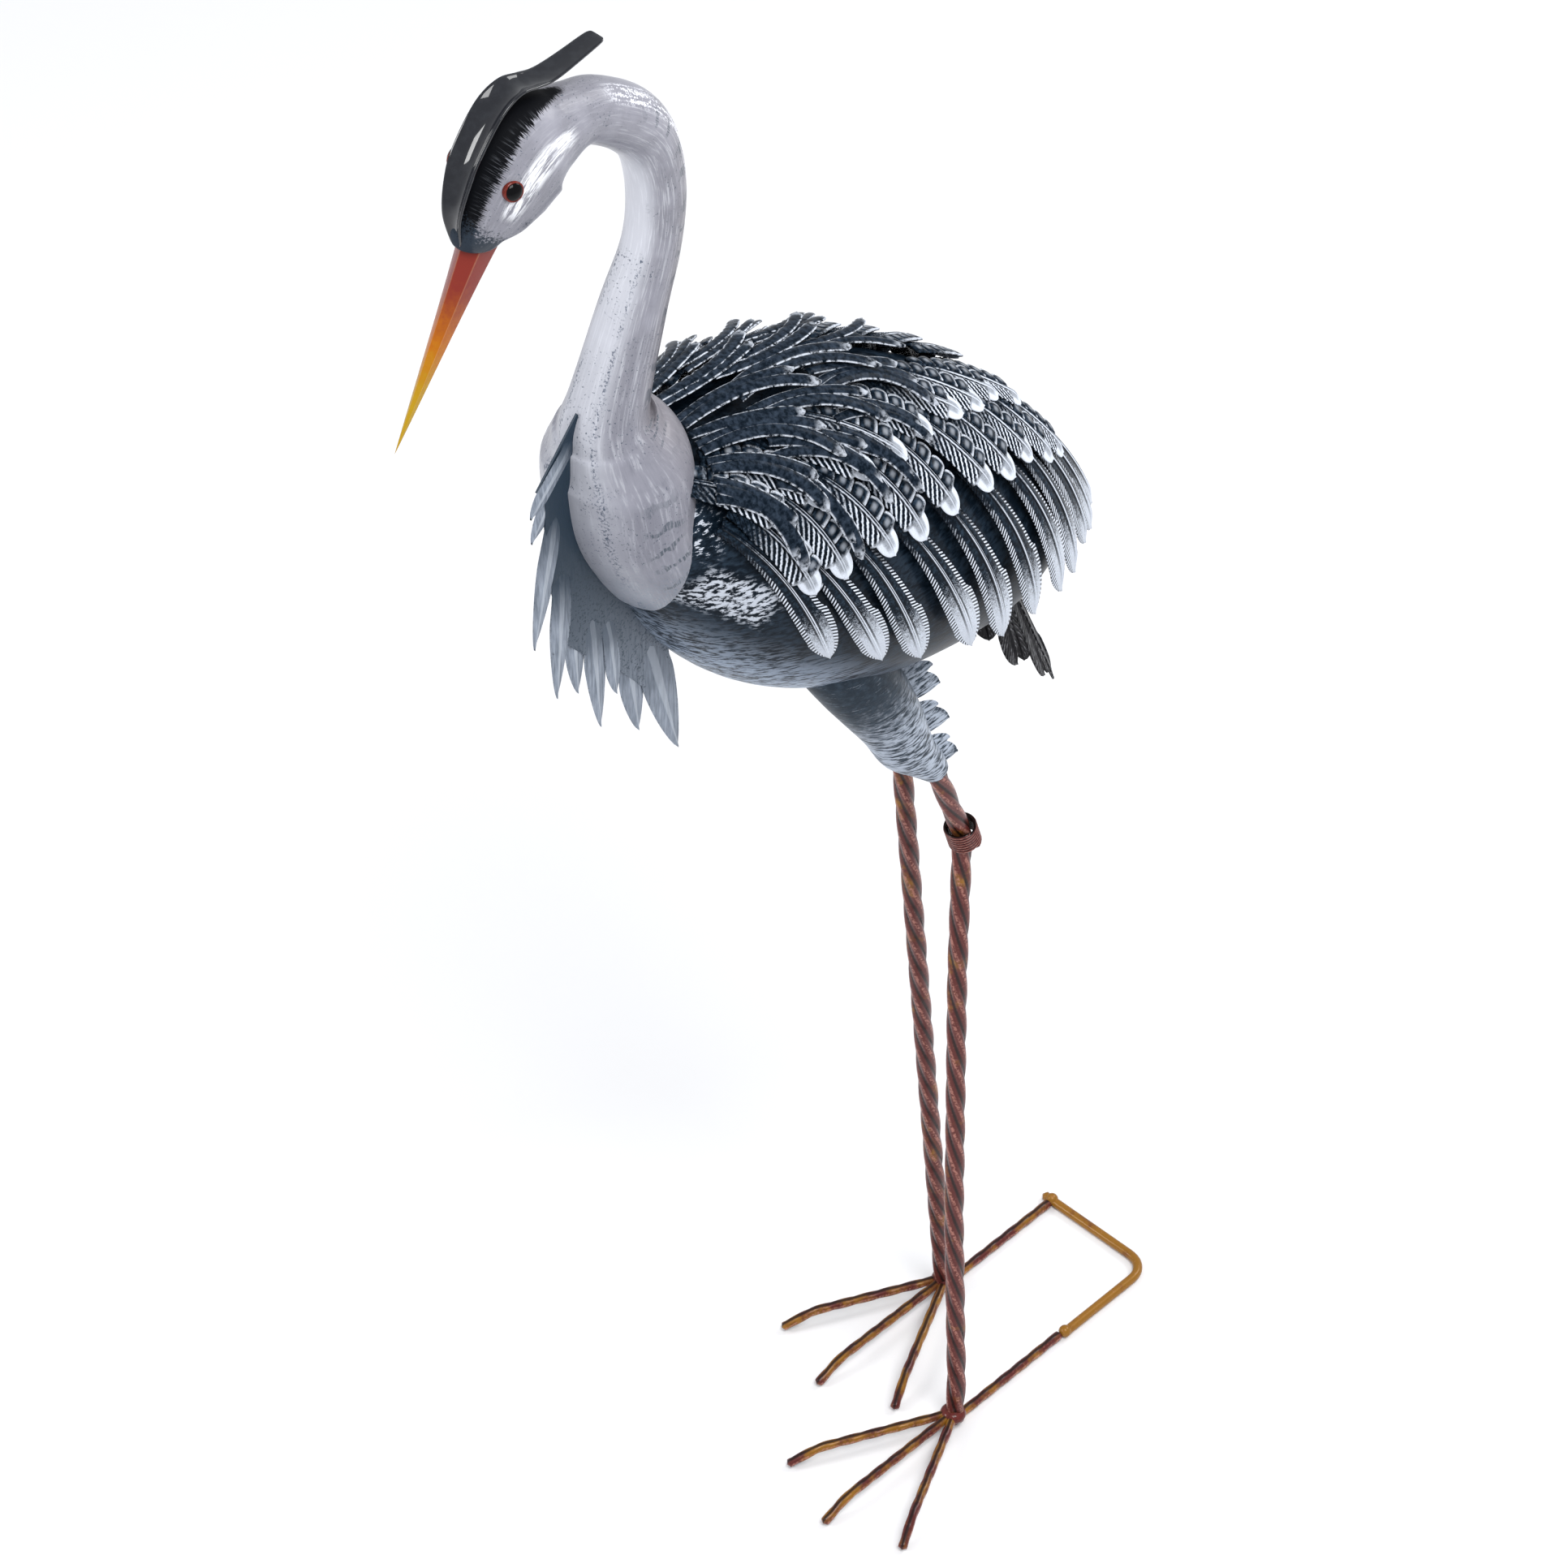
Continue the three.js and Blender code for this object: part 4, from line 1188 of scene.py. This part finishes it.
def plume_row(bm, mirrored, full_width, count, start, run, angles, rise):
    form = scalloped_form if mirrored else plume_form
    for i in range(count):
        u = i / (count - 1)
        tone, other = spread(i, start * 0.1, start * 0.07)
        phi = angles[0] + (angles[1] - angles[0]) * u + 2 * (other - 0.5)
        swept = phi - (0.42 + 0.26 * other) * cos(phi * DEGREE) * run
        end = start + run * (0.62 + 0.4 * tone + 0.3 * u)
        lift = (rise[0] + 1.2 * other, rise[1] + 1.8 * (tone - 0.4))
        width = full_width * (0.86 + 0.34 * other)
        add_feather(bm, (start, phi), (end, swept), lift, width, form, (30, 6), tone, mirrored, 9 * tone)


class HERON_OT_plumes(Operator):
    """Models the narrow plumes that fan back from the neck."""

    bl_idname = "heron.plumes"
    bl_label = "Back plumes"

    def execute(self, context):
        sizes = context.scene.heron_feathers
        paint = plume_paint(context.scene.heron_colours)
        for name, row in PLUME_ROWS.items():
            for side, mirrored in SIDES:
                bm = bmesh.new()
                plume_row(bm, mirrored, sizes.plume_width, *row)
                skin_over(bm, f"{name}_{side}", paint, "silver_paint", sizes.thickness)
        return {"FINISHED"}


def tail_feather(bm, aside, back, index):
    root = Vector((14 * aside, 15 + 30 * back, 595 - 25 * back))
    tip = Vector((26 * aside, 10 + 82 * back, 540 - 88 * back))
    along = (tip - root).normalized()
    side = along.cross(Vector((aside, back, 0))).normalized()
    out = side.cross(along)

    def at(u, w):
        x = 2 * w - 1
        wide, height = flight_form(u, x)
        lift = height * 0.7 + 0.5 * (index % 2) - 0.6
        return root.lerp(tip, u) + side * (x * wide * TAIL_HALF_WIDTH) + out * lift

    add_sheet(bm, 44, 12, at, tone=spread(index, 0, 0)[0])


class HERON_OT_tail(Operator):
    """Models the half fan of tail feathers."""

    bl_idname = "heron.tail"
    bl_label = "Tail"

    def execute(self, context):
        bm = bmesh.new()
        for i, degrees in enumerate(range(-66, 67, 22)):
            tail_feather(bm, sin(degrees * DEGREE), cos(degrees * DEGREE), i)
        paint = tail_paint(context.scene.heron_colours)
        finished(bm, "tail_fan", paint, "bronze_paint", ["tail_feathers"], crease=40, thickness=0.8)
        return {"FINISHED"}


def thigh_tube(bm, shift, mirrored):
    def at(u, w):
        depth, width = along_stations(THIGH_STATIONS, u)[3:]
        centre, first, second = path_frame([station[:3] for station in THIGH_STATIONS], u)
        end = 0 if u in (0, 1) else 1
        slim = step(u, 0, 0.25)
        middle = centre + shift - second * (0.26 * slim * depth)
        wide, deep = (1 - 0.15 * slim) * width * end, (1 - 0.28 * slim) * depth * end
        return oval((middle, first, second), w, wide, deep)

    close_up(bm, add_sheet(bm, 36, 36, at, mirrored=mirrored))


def thigh_tooth(bm, tip, index, mirrored):
    down = Vector((0, 0.86, -0.42 + 0.3 * (index % 2))).normalized()
    root = tip - down * THIGH_TOOTH_LENGTH
    aside = X_AXIS.cross(down)

    def at(u, w):
        x = 2 * w - 1
        wide = THIGH_TOOTH_HALF_WIDTH * (1 - u**2.2) ** 0.8 + 0.2
        return root.lerp(tip, u) + aside * (x * wide) + X_AXIS * (0.6 * (1 - abs(x)))

    sheet = add_sheet(bm, 14, 6, at, mirrored=mirrored)
    bmesh.ops.solidify(bm, geom=faces_of(sheet), thickness=MM)


class HERON_OT_thighs(Operator):
    """Models the thighs with their ragged rear edge."""

    bl_idname = "heron.thighs"
    bl_label = "Thighs"

    def execute(self, context):
        paint = thigh_paint()
        for side, mirrored in SIDES:
            bm = bmesh.new()
            shift = RIGHT_THIGH_SHIFT if mirrored else Vector()
            thigh_tube(bm, shift, mirrored)
            for i, (y, z) in enumerate(THIGH_TEETH):
                thigh_tooth(bm, Vector((25.5, y, z)) + shift, i, mirrored)
            finished(bm, f"thigh_skin_{side}", paint, "slate_paint", [f"thigh_{side}"], crease=50)
        return {"FINISHED"}


def path_length(points):
    return sum((Vector(end) - Vector(start)).length for start, end in zip(points, points[1:]))


def rod_sheet(bm, points, blend, section, per_length=2.4, sides=20, reference=Z_AXIS, share=0.01):
    """A closed rod along straight or bent points, whose radius comes from section(distance, angle)."""
    lengths = [path_length(points[: i + 1]) for i in range(len(points))]
    whole = lengths[-1]

    def centre_at(distance):
        distance = min(max(distance, 0), whole)
        i = max(k for k in range(len(points) - 1) if lengths[k] <= distance + 1e-9)
        part = (distance - lengths[i]) / (lengths[i + 1] - lengths[i])
        return Vector(points[i]).lerp(Vector(points[i + 1]), part)

    frames = {}

    def at(u, w):
        distance = whole * u
        if u not in frames:
            here = centre_at(distance)
            tangent = (centre_at(distance + blend) - centre_at(distance - blend)).normalized()
            if 0 < u < 1:
                here = (centre_at(distance + blend / 2) + centre_at(distance - blend / 2) + here) / 3
            frames[u] = (here, *square_to(reference, tangent)), round_end(u, share)
        frame, end = frames[u]
        radius = section(distance, TURN * w) * end
        return oval(frame, w, radius, radius)

    close_up(bm, add_sheet(bm, max(int(whole / per_length), 8), sides, at))


def leg_bar(side, points, sizes, paint):
    bm = bmesh.new()

    def section(distance, angle):
        turned = angle + TURN * distance / sizes.bar_pitch
        return sizes.bar_ridge - sizes.bar_groove * (1 - abs(sin(2 * turned)) ** 0.6)

    rod_sheet(bm, points, 4, section, per_length=2.6, sides=40, reference=X_AXIS, share=0.004)
    turn_map(bm, path_length(points) / sizes.bar_pitch)
    finished(bm, f"leg_bar_{side}", paint, "copper_paint", [f"leg_{side}"])


def turn_map(bm, turns):
    """Twists the map with the bar, so that paint follows the strands."""
    uv = bm.loops.layers.uv.verify()
    for face in bm.faces:
        for loop in face.loops:
            loop[uv].uv.x += loop[uv].uv.y * turns


def knee_coil(side, centre, sizes, wire):
    rings, radius = sizes.coil_turns * 28, sizes.wire_radius
    lean = Matrix.Rotation(COIL_LEAN, 3, "X")

    def at(u, w):
        angle = TURN * sizes.coil_turns * u
        out = Vector((cos(angle), sin(angle), 0))
        end = round_end(u, 0.004) * radius
        middle = out * (COIL_RADIUS - radius) + Z_AXIS * ((COIL_HEIGHT - 2 * radius) * (u - 0.5))
        return centre + lean @ oval((middle, out, Z_AXIS), w, end, end)

    rolled(f"coil_wire_{side}", rings, 10, at, wire, "copper_paint", [f"knee_coil_{side}"])


class HERON_OT_legs(Operator):
    """Models the twisted bar legs, and the coils round the knees."""

    bl_idname = "heron.legs"
    bl_label = "Legs"

    def execute(self, context):
        sizes = context.scene.heron_legs
        paint = bar_paint(context.scene.heron_colours, "leg_paint", 4, 0)
        wire = coil_paint(context.scene.heron_colours)
        for side, points in LEGS.items():
            leg_bar(side, points, sizes, paint)
            knee_coil(side, Vector(points[-2]), sizes, wire)
        return {"FINISHED"}


def add_toe(name, points, paint):
    bm = bmesh.new()

    def section(distance, angle):
        turned = angle + TURN * distance / TOE_PITCH
        return ROD_RADIUS - TOE_GROOVE * (1 - abs(sin(turned)) ** 0.7)

    rod_sheet(bm, points, 3, section, per_length=1.2, share=0.02)
    finished(bm, f"toe_rod_{name}", paint, "ochre_paint", [f"toe_{name}"])


def front_toe(x, y, root_angle, tip_angle, reach):
    """The points of a toe that slopes from the ankle and bends down to its tip."""

    def spot(angle, distance, height):
        return Vector((x + distance * sin(angle), y - distance * cos(angle), height))

    start = spot(root_angle * DEGREE, 2, TOE_ROOT_HEIGHT)
    tip = spot(tip_angle * DEGREE, reach, ROD_RADIUS)
    bend = 1 - TOE_BEND / reach
    before = start.lerp(tip, bend - 0.03)
    after = start.lerp(tip, bend + 0.03)
    before.z, after.z = 9, 8
    return [start, before, after, tip]


def ankle_bead(side, x, y, paint):
    def at(u, w):
        radius = 0 if u in (0, 1) else BEAD_RADIUS * sin(pi * (0.08 + 0.84 * u)) ** 0.5
        return oval((Vector((x, y, 4 + 8 * u)), X_AXIS, Y_AXIS), w, radius, radius)

    rolled(f"ankle_bead_{side}", 12, 24, at, paint, "copper_paint", [])


def add_brace(paint):
    bm = bmesh.new()
    x, back, corner = BRACE["x"], BRACE["back"], BRACE["corner"]
    points = [(x, BRACE["start"], ROD_RADIUS)]
    for i in range(7):
        angle = pi / 12 * i
        across = x - corner + corner * cos(angle)
        points.append((across, back - corner + corner * sin(angle), ROD_RADIUS))
    points.append((BRACE["end"], back, ROD_RADIUS))
    rod_sheet(bm, points, 2, lambda distance, angle: ROD_RADIUS)
    for weld in ((x, BRACE["start"] + 3.8, 3.5), (ANKLES["right"][0], back, 3.5)):
        made = bmesh.ops.create_uvsphere(bm, u_segments=14, v_segments=10, radius=WELD_RADIUS * MM)["verts"]
        bmesh.ops.translate(bm, verts=made, vec=place(Vector(weld)))
    finished(bm, "brace_rod", paint, "ochre_paint", ["rear_brace"])


class HERON_OT_feet(Operator):
    """Models the ribbed toes, the beads at the ankles and the smooth rear brace."""

    bl_idname = "heron.feet"
    bl_label = "Feet"

    def execute(self, context):
        colours = context.scene.heron_colours
        toe = bar_paint(colours, "toe_paint", 2, 0.12)
        rod = bar_paint(colours, "brace_paint", 0, 0.3)
        bead = plain_paint("ankle_paint", (0.12, 0.02, 0.016), 0.3)
        for side, mirrored in SIDES:
            x, y = ANKLES[side]
            for name, (root_angle, tip_angle, reach) in FRONT_TOES.items():
                angles = (-root_angle, -tip_angle) if mirrored else (root_angle, tip_angle)
                add_toe(f"{side}_{name}", front_toe(x, y, *angles, reach), toe)
            rear = [(x, y + behind, ROD_RADIUS) for behind in REAR_TOE]
            add_toe(f"{side}_rear", rear, toe)
            ankle_bead(side, x, y, bead)
        add_brace(rod)
        return {"FINISHED"}


OPERATORS = (
    HERON_OT_stage,
    HERON_OT_body,
    HERON_OT_neck,
    HERON_OT_head,
    HERON_OT_breast,
    HERON_OT_wings,
    HERON_OT_plumes,
    HERON_OT_tail,
    HERON_OT_thighs,
    HERON_OT_legs,
    HERON_OT_feet,
)


class HERON_PT_sidebar(Panel):
    """Lists the statue's pieces and its settings."""

    bl_label = "Garden Heron"
    bl_idname = "HERON_PT_sidebar"
    bl_space_type = "VIEW_3D"
    bl_region_type = "UI"
    bl_category = "Heron"

    def draw(self, context):
        for operator in OPERATORS:
            self.layout.operator(operator.bl_idname)
        for name, group in SETTINGS.items():
            settings = getattr(context.scene, name)
            for field in group.__annotations__:
                self.layout.prop(settings, field)


def register():
    for group in SETTINGS.values():
        bpy.utils.register_class(group)
    for name, group in SETTINGS.items():
        setattr(bpy.types.Scene, name, PointerProperty(type=group))
    for operator in OPERATORS:
        bpy.utils.register_class(operator)
    bpy.utils.register_class(HERON_PT_sidebar)


def unregister():
    bpy.utils.unregister_class(HERON_PT_sidebar)
    for operator in reversed(OPERATORS):
        bpy.utils.unregister_class(operator)
    for name in SETTINGS:
        delattr(bpy.types.Scene, name)
    for group in reversed(SETTINGS.values()):
        bpy.utils.unregister_class(group)


def main():
    register()
    bpy.ops.heron.stage()
    bpy.ops.heron.body()
    bpy.ops.heron.neck()
    bpy.ops.heron.head()
    bpy.ops.heron.breast()
    bpy.ops.heron.wings()
    bpy.ops.heron.plumes()
    bpy.ops.heron.tail()
    bpy.ops.heron.thighs()
    bpy.ops.heron.legs()
    bpy.ops.heron.feet()
    bpy.context.view_layer.update()


if __name__ == "__main__":
    main()
